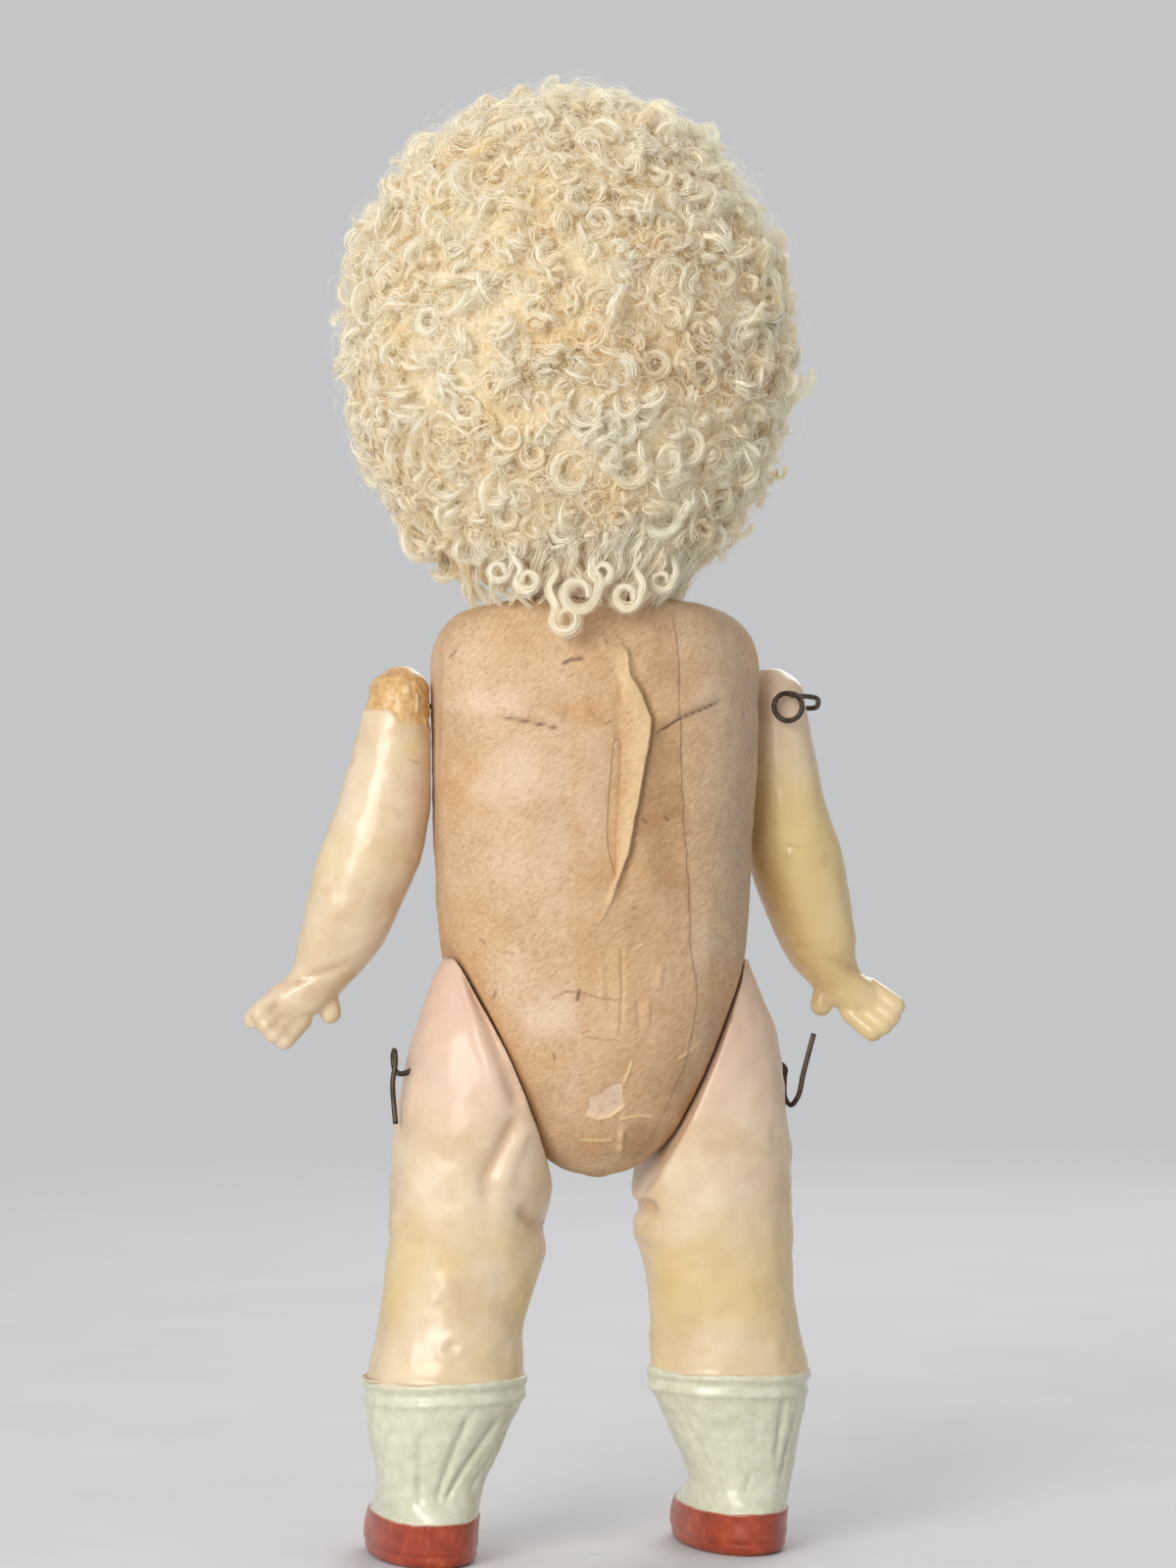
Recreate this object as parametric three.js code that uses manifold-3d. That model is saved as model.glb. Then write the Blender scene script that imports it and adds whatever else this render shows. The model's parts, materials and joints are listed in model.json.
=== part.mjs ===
// A googly-eyed doll: a bisque socket head with weighted glass sleep eyes and a curly fleece wig,
// on a five-piece body of pressed card and composition, strung with wire hooks and elastic.
// Millimetres, +Z up. The doll faces -Y, its left side is +X, and it stands on the plane z = 0.
import * as THREE from "three";
import { mergeVertices } from "three/addons/utils/BufferGeometryUtils.js";
import Module from "manifold-3d";

const wasm = await Module();
wasm.setup();

const degrees = THREE.MathUtils.degToRad;

// Clearances
const FIT_GAP = 0.3;
const SEAM_GAP = 0.3;
const HIP_GAP = 0.5;

// Leg heights, each measured up from the one before it
const SOLE_EDGE = 0.7;
const SHOE_HEIGHT = 6.0;
const ANKLE_RISE = 3.2;
const SOCK_RISE = 13.2;
const KNEE_RISE = 7.6;
const CREASE_RISE = 8.0;
const THIGH_RISE = 8.4;
const HIP_RISE = 17.4;
const LEG_PEAK_RISE = 8.2;

// Leg widths along X and depths along Y
const SHOE_WIDTH = 12.4;
const SHOE_LENGTH = 24.0;
const HEEL_BACK = 7.8;
const ANKLE_WIDTH = 12.8;
const ANKLE_DEPTH = 12.8;
const SOCK_WIDTH = 19.6;
const SOCK_DEPTH = 18.6;
const SOCK_BAND = 1.6;
const SOCK_LIP = 0.45;
const KNEE_WIDTH = 18.6;
const KNEE_DEPTH = 17.4;
const CREASE_WIDTH = 19.0;
const CREASE_DEPTH = 17.6;
const THIGH_WIDTH = 20.0;
const THIGH_DEPTH = 19.2;
const PEAK_WIDTH = 7.6;
const PEAK_DEPTH = 9.0;
const PEAK_ROUND = 1.0;

// Distance of the leg's centre line from the middle of the doll
const FOOT_SPREAD = 19.6;
const SOCK_SPREAD = 18.0;
const KNEE_SPREAD = 16.7;
const THIGH_SPREAD = 15.2;
const PEAK_SPREAD = 15.8;
const LEG_LEAN = 1.4;

// Hip joint: the legs meet the torso on a slanting flat, and turn about its normal
const HIP_SPREAD = 14.0;
const HIP_SLANT = 24;
const LEG_SWING_FORWARD = 95;
const LEG_SWING_BACK = 30;

// Torso of pressed card. Heights are measured from the hip joint.
const TORSO_WALL = 1.6;
const TORSO_DROP = 16.6;
const BELLY_HEIGHT = 14.0;
const CHEST_HEIGHT = 40.0;
const TORSO_HEIGHT = 53.0;
const BELLY_WIDTH = 38.8;
const BELLY_DEPTH = 29.0;
const CHEST_WIDTH = 40.6;
const CHEST_DEPTH = 25.4;
const SHOULDER_WIDTH = 36.0;
const SHOULDER_DEPTH = 21.6;
const NECK_RIM = 20.0;
const BELLY_FORWARD = 1.0;
const PAPER_THICKNESS = 0.4;
const BACK_PAPER_WIDTH = 14.0;
const FRONT_PAPER_WIDTH = 4.4;
const PAPER_SHARE = 0.4;

// Shoulder joint, on a flat at the side of the torso
const SHOULDER_DROP = 13.0;
const SHOULDER_FORWARD = 3.5;
const ARM_SWING_FORWARD = 135;
const ARM_SWING_BACK = 60;

// Arm, measured down from the shoulder joint and out from the flat
const ARM_CAP = 4.8;
const ARM_CAP_WIDTH = 8.2;
const ARM_CAP_DEPTH = 9.6;
const ELBOW_DROP = 18.5;
const ELBOW_WIDTH = 12.6;
const ELBOW_DEPTH = 12.6;
const WRIST_DROP = 32.0;
const WRIST_WIDTH = 8.8;
const WRIST_DEPTH = 8.6;
const PALM_LENGTH = 5.6;
const PALM_WIDTH = 9.4;
const PALM_DEPTH = 6.0;
const FINGER_RADIUS = 1.2;
const FINGER_SPACING = 1.35;
const FINGER_LENGTH = 3.0;
const FINGER_CURL = 0.45;
const THUMB_RADIUS = 1.15;
const THUMB_LENGTH = 1.8;
const LEFT_ARM_LEAN = 14.0;
const RIGHT_ARM_LEAN = 13.0;
const LEFT_ARM_FULLNESS = 1.0;
const RIGHT_ARM_FULLNESS = 0.94;
const ELBOW_FORWARD = 1.2;
const WRIST_FORWARD = 3.0;
const HAND_TURN = 31.0;

// Wire and elastic of the stringing
const WIRE_RADIUS = 0.45;
const ELASTIC_RADIUS = 0.5;
const HOOK_RING_RADIUS = 3.0;
const HOOK_REACH = 9.0;
const NECK_HOOK_REACH = 2.6;
const RING_SWEEP = 285;
const ELASTIC_TAIL = 3.0;
const ARM_SHANK = 6.0;
const ARM_EYE_OUT = 3.8;
const ARM_EYE_RADIUS = 1.7;
const LEG_TAIL = 5.4;
const HEAD_TURN = 80;

// Bisque head
const HEAD_WIDTH = 43.0;
const HEAD_DEPTH = 44.0;
const HEAD_ABOVE = 25.5;
const HEAD_BELOW = 26.0;
const HEAD_FORWARD = 3.0;
const HEAD_ASIDE = 1.2;
const HEAD_WALL = 2.4;
const NECK_RADIUS = 8.2;
const NECK_WALL = 2.2;
const NECK_LIFT = 2.8;
const NECK_TO_HEAD = 26.2;
const NECK_BORE = 2.6;
const NECK_BUTTON_HEIGHT = 3.2;
const CROWN_HEIGHT = 15.5;
const CROWN_TILT = 12;
const PATE_WALL = 1.3;
const NOSE_LENGTH = 2.3;
const NOSE_DROP = 5.6;
const NOSE_SPREAD = 2.1;
const CHEEK_SWELL = 1.3;
const CHEEK_DROP = 10.6;
const CHEEK_ASIDE = 10.4;
const CHEEK_SPREAD = 5.4;
const CHIN_SWELL = 1.5;
const CHIN_DROP = 20.4;
const CHIN_SPREAD = 4.0;

// Glass eyes and their rocker
const EYE_RADIUS = 6.2;
const EYE_SPREAD = 8.7;
const EYE_RISE = 0.6;
const EYE_SETBACK = 1.0;
const EYE_OPENING = 4.7;
const BRIDGE_THICKNESS = 3.4;
const BRIDGE_HEIGHT = 4.0;
const BRIDGE_OVERLAP = 1.4;
const WEIGHT_RADIUS = 3.5;
const WEIGHT_LENGTH = 3.2;
const WEIGHT_ARM = 14.6;
const WEIGHT_ANGLE = 25;
const STEM_RADIUS = 0.9;
const STOP_WIDTH = 6.0;
const STOP_HEIGHT = 4.4;
const PAD_DEPTH = 7.0;
const PAD_HEIGHT = 8.0;

// Wig: a skin cap with a curly fleece on it
const CAP_THICKNESS = 0.9;
const FLEECE_AT_SIDES = 6.1;
const FLEECE_AT_BACK = 4.6;
const FLEECE_ON_TOP = 4.7;
const FLEECE_HANG = 8.4;
const FLEECE_BACK = 2.6;
const FLEECE_ASIDE = 2.2;
const FLEECE_RISE = 3.0;
const NAPE_CLEARANCE = 1.2;
const CURL_COUNT = 110;
const CURL_SWELL = 1.2;
const FACE_HALF_WIDTH = 17.6;
const FACE_ABOVE = 10.8;
const FACE_CUT_BACK = 4.0;
const JAW_DROP = 10.0;
const FACE_FLARE = 12.0;
const CAP_REVEAL = 0.9;

// Places worked out from the sizes above
const ankleHeight = SHOE_HEIGHT + ANKLE_RISE;
const sockHeight = ankleHeight + SOCK_RISE;
const kneeHeight = sockHeight + KNEE_RISE;
const creaseHeight = kneeHeight + CREASE_RISE;
const thighHeight = creaseHeight + THIGH_RISE;
const hipHeight = thighHeight + HIP_RISE;
const legPeakHeight = hipHeight + LEG_PEAK_RISE;
const torsoBottom = hipHeight - TORSO_DROP;
const torsoTop = hipHeight + TORSO_HEIGHT;
const shoulderHeight = torsoTop - SHOULDER_DROP;
const armFlat = CHEST_WIDTH / 2 - FIT_GAP;
const neckHeight = torsoTop + NECK_LIFT;
const headCentre = new THREE.Vector3(HEAD_ASIDE, -HEAD_FORWARD, neckHeight + NECK_TO_HEAD);
const eyeHeight = headCentre.z + EYE_RISE;
const hookBore = WIRE_RADIUS + FIT_GAP;
const elasticTurn = WIRE_RADIUS + FIT_GAP + ELASTIC_RADIUS;

// Mesh density
const BODY_SIDES = 24;
const LIMB_SIDES = 16;
const HEAD_SIDES = 24;
const HEAD_RINGS = 17;
const EYE_SIDES = 16;
const WIRE_SIDES = 6;
const BORE_SIDES = 10;
const FAR = 400;

const vector = (x, y, z) => new THREE.Vector3(x, y, z);

// Joins and cuts

function solid(geometry) {
  const bare = new THREE.BufferGeometry();
  bare.setAttribute("position", geometry.getAttribute("position"));
  bare.setIndex(geometry.index);
  const merged = mergeVertices(bare, 1e-4);
  const corners = merged.index.array;
  const kept = [];
  for (let i = 0; i < corners.length; i += 3) {
    const [a, b, c] = corners.slice(i, i + 3);
    if (a !== b && b !== c && c !== a) kept.push(a, b, c);
  }
  return new wasm.Manifold(
    new wasm.Mesh({
      numProp: 3,
      vertProperties: new Float32Array(merged.attributes.position.array),
      triVerts: new Uint32Array(kept),
    }),
  );
}

function geometryOf(body) {
  const { vertProperties, triVerts } = body.getMesh();
  const geometry = new THREE.BufferGeometry();
  geometry.setAttribute("position", new THREE.BufferAttribute(vertProperties, 3));
  geometry.setIndex(new THREE.BufferAttribute(triVerts, 1));
  geometry.computeVertexNormals();
  return geometry;
}

const joined = (...bodies) => bodies.reduce((whole, body) => whole.add(body));
const cut = (body, ...tools) => tools.reduce((whole, tool) => whole.subtract(tool), body);

// Everything on the side of a plane that its normal points to
function beyond(point, normal) {
  const block = new THREE.BoxGeometry(FAR, FAR, FAR).translate(0, 0, FAR / 2);
  const turn = new THREE.Quaternion().setFromUnitVectors(vector(0, 0, 1), normal.clone().normalize());
  return solid(block.applyQuaternion(turn).translate(point.x, point.y, point.z));
}

function ball(centre, radius, sides = 16) {
  const round = new THREE.SphereGeometry(radius, sides, Math.round(sides * 0.7));
  return solid(round.rotateX(Math.PI / 2).translate(centre.x, centre.y, centre.z));
}

function rod(from, to, radius, sides = BORE_SIDES) {
  const span = to.clone().sub(from);
  const turn = new THREE.Quaternion().setFromUnitVectors(vector(0, 1, 0), span.clone().normalize());
  const middle = from.clone().lerp(to, 0.5);
  const round = new THREE.CylinderGeometry(radius, radius, span.length(), sides);
  return solid(round.applyQuaternion(turn).translate(middle.x, middle.y, middle.z));
}

function capsule(from, to, radius) {
  const span = to.clone().sub(from);
  const turn = new THREE.Quaternion().setFromUnitVectors(vector(0, 1, 0), span.clone().normalize());
  const middle = from.clone().lerp(to, 0.5);
  const round = new THREE.CapsuleGeometry(radius, span.length(), 2, 8);
  return solid(round.applyQuaternion(turn).translate(middle.x, middle.y, middle.z));
}

// Lofts: rings of points stacked upwards, each running anticlockwise seen from above

function loft(rings) {
  const sides = rings[0].length;
  const points = rings.flat();
  const faces = [];
  for (let r = 0; r + 1 < rings.length; r++) {
    for (let i = 0; i < sides; i++) {
      const next = (i + 1) % sides;
      const [a, b] = [r * sides + i, r * sides + next];
      const [c, d] = [b + sides, a + sides];
      faces.push(a, b, c, a, c, d);
    }
  }
  for (const [ring, first, up] of [
    [rings[0], 0, false],
    [rings.at(-1), (rings.length - 1) * sides, true],
  ]) {
    const hub = points.length;
    points.push(ring.reduce((sum, p) => sum.add(p), vector(0, 0, 0)).divideScalar(sides));
    for (let i = 0; i < sides; i++) {
      const [a, b] = [first + i, first + ((i + 1) % sides)];
      faces.push(hub, ...(up ? [a, b] : [b, a]));
    }
  }
  return new THREE.BufferGeometry().setFromPoints(points).setIndex(faces);
}

// A level ring, round at power 2 and squarer above it
function ringOf({ x, y, z, width, depth }, sides, power) {
  const bulge = (c) => Math.sign(c) * Math.abs(c) ** (2 / power);
  return Array.from({ length: sides }, (_, i) => {
    const angle = (2 * Math.PI * i) / sides;
    return vector(x + (width / 2) * bulge(Math.cos(angle)), y + (depth / 2) * bulge(Math.sin(angle)), z);
  });
}

const STATION = ["x", "y", "z", "width", "depth"];

// Values at a place along the stations, on a smooth curve through them
function between(stations) {
  const places = stations.map((_, i) => i);
  const values = stations.flatMap((station) => STATION.map((name) => station[name]));
  const curve = new THREE.CubicInterpolant(places, values, STATION.length);
  return (place) => {
    const found = curve.evaluate(place);
    return Object.fromEntries(STATION.map((name, i) => [name, found[i]]));
  };
}

function skin(stations, sides, power, ringsPerSpan = 2) {
  const at = between(stations);
  const count = (stations.length - 1) * ringsPerSpan;
  const rings = Array.from({ length: count + 1 }, (_, i) => ringOf(at(i / ringsPerSpan), sides, power));
  return loft(rings);
}

// Wires and cords

function tube(points, radius, sides, steps) {
  const round = Array.from({ length: sides }, (_, i) => {
    const angle = (2 * Math.PI * i) / sides;
    return new THREE.Vector2(radius * Math.cos(angle), radius * Math.sin(angle));
  });
  const path = new THREE.CatmullRomCurve3(points, false, "centripetal");
  return new THREE.ExtrudeGeometry(new THREE.Shape(round), {
    steps,
    bevelEnabled: false,
    extrudePath: path,
  });
}

// A joint's own axes: out along the axis, up, and towards the front
function jointFrame(origin, axis, up) {
  return { origin, axis, up, front: axis.clone().cross(up) };
}

function mirrored(frame, side) {
  const flip = (v) => vector(v.x * side, v.y, v.z);
  return {
    origin: flip(frame.origin),
    axis: flip(frame.axis),
    up: flip(frame.up),
    front: flip(frame.front),
  };
}

// A point some way along a joint's axis, and off it at an angle from up towards the front
function offAxis({ origin, axis, up, front }, along, radius = 0, angle = 0) {
  return origin
    .clone()
    .addScaledVector(axis, along)
    .addScaledVector(up, radius * Math.cos(angle))
    .addScaledVector(front, radius * Math.sin(angle));
}

const SPIRAL_TURN = degrees(60);
const SPIRAL_LEAD = 1.5;
const SPIRAL_POINTS = 4;
const RING_POINTS = 14;

// The end of a hook: the wire leaves the axis on a short spiral and closes to a ring square to it
function ringEnd(frame, along, startAngle, radius = HOOK_RING_RADIUS) {
  const points = [];
  for (let i = 0; i < SPIRAL_POINTS; i++) {
    const share = i / SPIRAL_POINTS;
    const turn = startAngle - SPIRAL_TURN * (1 - share);
    points.push(offAxis(frame, along + SPIRAL_LEAD * (1 - share), radius * share ** 1.5, turn));
  }
  for (let i = 0; i <= RING_POINTS; i++) {
    points.push(offAxis(frame, along, radius, startAngle + (degrees(RING_SWEEP) * i) / RING_POINTS));
  }
  return points;
}

// The angle where a ring starts, so that its wire stays under the elastic over the joint's swing
function ringStart(elasticAngle, least, most) {
  return elasticAngle - degrees(least + most + RING_SWEEP) / 2;
}

// The cord's turn round a ring's wire, from outside the ring to inside it
function cordTurn(frame, along, angle) {
  const turnPoints = 6;
  return Array.from({ length: turnPoints + 1 }, (_, i) => {
    const turn = (Math.PI * i) / turnPoints;
    const radius = HOOK_RING_RADIUS + elasticTurn * Math.cos(turn);
    return offAxis(frame, along + elasticTurn * Math.sin(turn), radius, angle);
  });
}

// Joint frames of the left side, and of the neck

const slant = degrees(HIP_SLANT);
const hipFrame = jointFrame(
  vector(HIP_SPREAD, 0, hipHeight),
  vector(Math.cos(slant), 0, -Math.sin(slant)),
  vector(Math.sin(slant), 0, Math.cos(slant)),
);
const shoulderFrame = jointFrame(
  vector(armFlat, -SHOULDER_FORWARD, shoulderHeight),
  vector(1, 0, 0),
  vector(0, 0, 1),
);
const neckFrame = jointFrame(vector(0, 0, neckHeight), vector(0, 0, 1), vector(0, -1, 0));

const hipElasticAngle = 0;
const armElasticAngle = degrees(-50);
const neckElasticAngle = 0;
const neckRingAlong = -NECK_RADIUS - NECK_HOOK_REACH;

// Legs, with sock and shoe moulded in one with them

const shoeBack = (length) => HEEL_BACK - length / 2;

function legStations(side) {
  const at = (z, spread, width, depth, y = 0) => ({
    x: spread + side * LEG_LEAN * (1 - z / hipHeight),
    y,
    z,
    width,
    depth,
  });
  const vamp = SHOE_LENGTH * 0.86;
  return [
    at(0, FOOT_SPREAD, SHOE_WIDTH - 2 * SOLE_EDGE, SHOE_LENGTH - 2 * SOLE_EDGE, shoeBack(SHOE_LENGTH)),
    at(SOLE_EDGE, FOOT_SPREAD, SHOE_WIDTH, SHOE_LENGTH, shoeBack(SHOE_LENGTH)),
    at(SHOE_HEIGHT * 0.6, FOOT_SPREAD, SHOE_WIDTH, SHOE_LENGTH, shoeBack(SHOE_LENGTH)),
    at(SHOE_HEIGHT, FOOT_SPREAD, SHOE_WIDTH, vamp, shoeBack(vamp)),
    at(ankleHeight, FOOT_SPREAD, ANKLE_WIDTH, ANKLE_DEPTH, 0.4),
    at(
      (ankleHeight + sockHeight) / 2,
      (FOOT_SPREAD + SOCK_SPREAD) / 2,
      (ANKLE_WIDTH + SOCK_WIDTH) / 2 + 0.6,
      (ANKLE_DEPTH + SOCK_DEPTH) / 2 + 0.6,
    ),
    at(sockHeight - SOCK_BAND, SOCK_SPREAD, SOCK_WIDTH, SOCK_DEPTH),
    at(sockHeight, SOCK_SPREAD, SOCK_WIDTH, SOCK_DEPTH),
    at(sockHeight + SOCK_LIP, SOCK_SPREAD, SOCK_WIDTH - 2 * SOCK_LIP, SOCK_DEPTH - 2 * SOCK_LIP),
    at(kneeHeight, KNEE_SPREAD, KNEE_WIDTH, KNEE_DEPTH),
    at(creaseHeight, (KNEE_SPREAD + THIGH_SPREAD) / 2, CREASE_WIDTH, CREASE_DEPTH),
    at(thighHeight, THIGH_SPREAD, THIGH_WIDTH, THIGH_DEPTH),
    at((thighHeight + hipHeight) / 2, (THIGH_SPREAD + HIP_SPREAD) / 2 - 0.4, THIGH_WIDTH, THIGH_DEPTH),
    at(hipHeight, HIP_SPREAD - 1.4, THIGH_WIDTH, THIGH_DEPTH * 0.9),
    at(legPeakHeight, PEAK_SPREAD, PEAK_WIDTH, PEAK_DEPTH),
    at(legPeakHeight + PEAK_ROUND, PEAK_SPREAD + 0.3, PEAK_WIDTH * 0.45, PEAK_DEPTH * 0.45),
  ];
}
const LEG_POWER = 2.1;
const mirrorX = (body) => body.mirror([1, 0, 0]);

function legSolid(side) {
  const face = offAxis(hipFrame, HIP_GAP / 2);
  const bore = rod(offAxis(hipFrame, -FAR / 4), offAxis(hipFrame, FAR / 4), hookBore);
  const skinned = solid(skin(legStations(side), LIMB_SIDES, LEG_POWER));
  const leg = cut(skinned, beyond(face, hipFrame.axis.clone().negate()), bore);
  return side > 0 ? leg : mirrorX(leg);
}

// How far along the hip axis the outside of the thigh lies
function thighOutside(side) {
  const stations = legStations(side);
  const thighAt = between(stations);
  let place = stations.length - 6;
  let reach = vector(0, 0, 0);
  do {
    const { x, z, width } = thighAt(place);
    reach = vector(x + width / 2, 0, z).sub(hipFrame.origin);
    place += 0.02;
  } while (reach.dot(hipFrame.up) < 0);
  return reach.dot(hipFrame.axis);
}

// The leg's hook: a ring in the torso, a shank through the thigh, and a bent end outside it. The left
// one has an upright loop and a tail that hangs beside the thigh, the right one turns down and then up.
function legHook(side) {
  const frame = mirrored(hipFrame, side);
  const outside = thighOutside(side) + WIRE_RADIUS + FIT_GAP;
  const start = ringStart(hipElasticAngle, -LEG_SWING_FORWARD, LEG_SWING_BACK);
  const shank = [offAxis(frame, -1), offAxis(frame, outside * 0.55)];
  const hanging = [
    offAxis(frame, outside + 0.2),
    offAxis(frame, outside + 0.5, 1.0, degrees(40)),
    offAxis(frame, outside, 2.4, degrees(20)),
    offAxis(frame, outside - 0.2, 3.0, degrees(-8)),
    offAxis(frame, outside + 0.5, 2.2, degrees(-40)),
    offAxis(frame, outside + 1.8, 1.7, degrees(-100)),
    offAxis(frame, outside + 2.8, LEG_TAIL * 0.62, degrees(-150)),
    offAxis(frame, outside + 3.6, LEG_TAIL, degrees(-156)),
  ];
  const standing = [
    offAxis(frame, outside + 0.3),
    offAxis(frame, outside + 0.9, 1.2, degrees(165)),
    offAxis(frame, outside + 2.0, 3.4, degrees(172)),
    offAxis(frame, outside + 2.8, 4.0, degrees(-172)),
    offAxis(frame, outside + 2.9, 3.0, degrees(-150)),
    offAxis(frame, outside + 2.4, 1.6, degrees(-95)),
    offAxis(frame, outside + 1.9, LEG_TAIL * 0.62, degrees(-30)),
    offAxis(frame, outside + 1.6, LEG_TAIL, degrees(-17)),
  ];
  const bent = side > 0 ? hanging : standing;
  const points = [...ringEnd(frame, -HOOK_REACH, start).reverse(), ...shank, ...bent];
  return solid(tube(points, WIRE_RADIUS, WIRE_SIDES, 46));
}

// Torso: two halves of pressed card, joined along the middle

const torsoStations = [
  { along: -TORSO_DROP, width: 2.0, depth: 2.0, y: 0.6 },
  { along: -TORSO_DROP + 1.4, width: BELLY_WIDTH * 0.27, depth: BELLY_DEPTH * 0.3, y: 0.6 },
  { along: -TORSO_DROP * 0.68, width: BELLY_WIDTH * 0.52, depth: BELLY_DEPTH * 0.58, y: 0.5 },
  { along: -TORSO_DROP * 0.34, width: BELLY_WIDTH * 0.7, depth: BELLY_DEPTH * 0.8, y: 0.2 },
  { along: 0, width: BELLY_WIDTH * 0.83, depth: BELLY_DEPTH * 0.93, y: -BELLY_FORWARD * 0.4 },
  { along: BELLY_HEIGHT * 0.6, width: BELLY_WIDTH * 0.95, depth: BELLY_DEPTH, y: -BELLY_FORWARD },
  { along: BELLY_HEIGHT * 1.3, width: BELLY_WIDTH, depth: BELLY_DEPTH, y: -BELLY_FORWARD },
  {
    along: (BELLY_HEIGHT + CHEST_HEIGHT) / 2,
    width: (BELLY_WIDTH + CHEST_WIDTH) / 2,
    depth: (BELLY_DEPTH + CHEST_DEPTH) / 2,
    y: -BELLY_FORWARD * 0.6,
  },
  { along: CHEST_HEIGHT, width: CHEST_WIDTH, depth: CHEST_DEPTH, y: 0 },
  {
    along: CHEST_HEIGHT + (TORSO_HEIGHT - CHEST_HEIGHT) * 0.48,
    width: CHEST_WIDTH,
    depth: CHEST_DEPTH * 0.95,
    y: 0,
  },
  { along: TORSO_HEIGHT - 2.6, width: SHOULDER_WIDTH, depth: SHOULDER_DEPTH, y: 0 },
  {
    along: TORSO_HEIGHT - 0.7,
    width: (SHOULDER_WIDTH + NECK_RIM) / 2,
    depth: (SHOULDER_DEPTH + NECK_RIM) / 2,
    y: 0,
  },
  { along: TORSO_HEIGHT, width: NECK_RIM, depth: NECK_RIM * 0.94, y: 0 },
].map(({ along, width, depth, y }) => ({ x: 0, y, z: hipHeight + along, width, depth }));
const TORSO_POWER = 2.3;

function torsoShell() {
  const outline = skin(torsoStations, BODY_SIDES, TORSO_POWER);
  const hollowOutline = skin(torsoStations, BODY_SIDES - 8, TORSO_POWER, 1);
  const middle = (torsoBottom + torsoTop) / 2;
  const inset = (size) => 1 - (2 * TORSO_WALL) / size;
  const hollow = hollowOutline
    .translate(0, 0, -middle)
    .scale(inset(CHEST_WIDTH), inset(BELLY_DEPTH), inset(torsoTop - torsoBottom))
    .translate(0, 0, middle);
  let [outer, inner] = [solid(outline), solid(hollow)];
  const bores = [];
  for (const side of [1, -1]) {
    const hip = mirrored(hipFrame, side);
    const shoulder = mirrored(shoulderFrame, side);
    outer = outer.subtract(beyond(offAxis(hip, -HIP_GAP / 2), hip.axis));
    inner = inner.subtract(beyond(offAxis(hip, -HIP_GAP / 2 - TORSO_WALL), hip.axis));
    outer = outer.subtract(beyond(shoulder.origin, shoulder.axis));
    inner = inner.subtract(beyond(offAxis(shoulder, -TORSO_WALL), shoulder.axis));
    bores.push(rod(offAxis(hip, -HOOK_REACH), offAxis(hip, HOOK_REACH), hookBore));
    bores.push(rod(offAxis(shoulder, -HOOK_REACH), offAxis(shoulder, HOOK_REACH), hookBore));
  }
  const neckSeat = ball(neckFrame.origin, NECK_RADIUS + FIT_GAP, HEAD_SIDES);
  return cut(outer, inner, neckSeat, ...bores);
}

const shell = torsoShell();
const torsoHalf = (side) =>
  shell.intersect(beyond(vector((side * SEAM_GAP) / 2, 0, 0), vector(side, 0, 0)));

// A strip of paper over the seam: it follows the torso's outline down the middle, and narrows with it
const PAPER_STEPS = 18;
const PAPER_SPANS = 4;

function seamPaper(facing, width) {
  const at = between(torsoStations);
  const first = 1.6;
  const last = torsoStations.length - 1.25;
  const strip = (lift) =>
    Array.from({ length: PAPER_STEPS + 1 }, (_, step) => {
      const place = first + ((last - first) * step) / PAPER_STEPS;
      const here = at(place);
      const [below, above] = [at(place - 0.01), at(place + 0.01)];
      const edge = (s) => s.y + (facing * s.depth) / 2;
      const normal = vector(0, above.z - below.z, edge(below) - edge(above)).normalize();
      if (normal.y * facing < 0) normal.negate();
      return Array.from({ length: PAPER_SPANS + 1 }, (_, span) => {
        const x = Math.min(width, here.width * PAPER_SHARE) * (span / PAPER_SPANS - 0.5);
        const shrink = (1 - Math.abs((2 * x) / here.width) ** TORSO_POWER) ** (1 / TORSO_POWER);
        const onCard = vector(x, here.y + (facing * here.depth * shrink) / 2, here.z);
        return onCard.addScaledVector(normal, lift);
      });
    });
  const inner = strip(FIT_GAP);
  const outer = strip(FIT_GAP + PAPER_THICKNESS);
  const rings = inner.map((row, i) => [...row, ...outer[i].reverse()]);
  if (facing > 0) rings.forEach((ring) => ring.reverse());
  return solid(loft(rings.map((ring) => ring.reverse())));
}

// Elastic between the arm hooks, and from leg to leg over the neck hook

const armRingAlong = -HOOK_REACH;

function armElastic() {
  const [left, right] = [1, -1].map((side) => mirrored(shoulderFrame, side));
  const inside = HOOK_RING_RADIUS - elasticTurn;
  const outside = HOOK_RING_RADIUS + elasticTurn;
  const end = (frame) => offAxis(frame, armRingAlong - ELASTIC_TAIL, inside, armElasticAngle);
  const standing = (frame) => offAxis(frame, armRingAlong - ELASTIC_TAIL, outside, armElasticAngle);
  const points = [
    end(left),
    ...cordTurn(left, armRingAlong, armElasticAngle).reverse(),
    standing(left),
    standing(right),
    ...cordTurn(right, armRingAlong, armElasticAngle),
    end(right),
  ];
  return solid(tube(points, ELASTIC_RADIUS, WIRE_SIDES, 38));
}

function headLegElastic() {
  const [left, right] = [1, -1].map((side) => mirrored(hipFrame, side));
  const inside = HOOK_RING_RADIUS - elasticTurn;
  const end = (frame) => offAxis(frame, -HOOK_REACH - ELASTIC_TAIL, inside, hipElasticAngle);
  const points = [
    end(left),
    ...cordTurn(left, -HOOK_REACH, hipElasticAngle).reverse(),
    ...cordTurn(neckFrame, neckRingAlong, neckElasticAngle),
    ...cordTurn(right, -HOOK_REACH, hipElasticAngle),
    end(right),
  ];
  return solid(tube(points, ELASTIC_RADIUS, WIRE_SIDES, 56));
}

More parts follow.
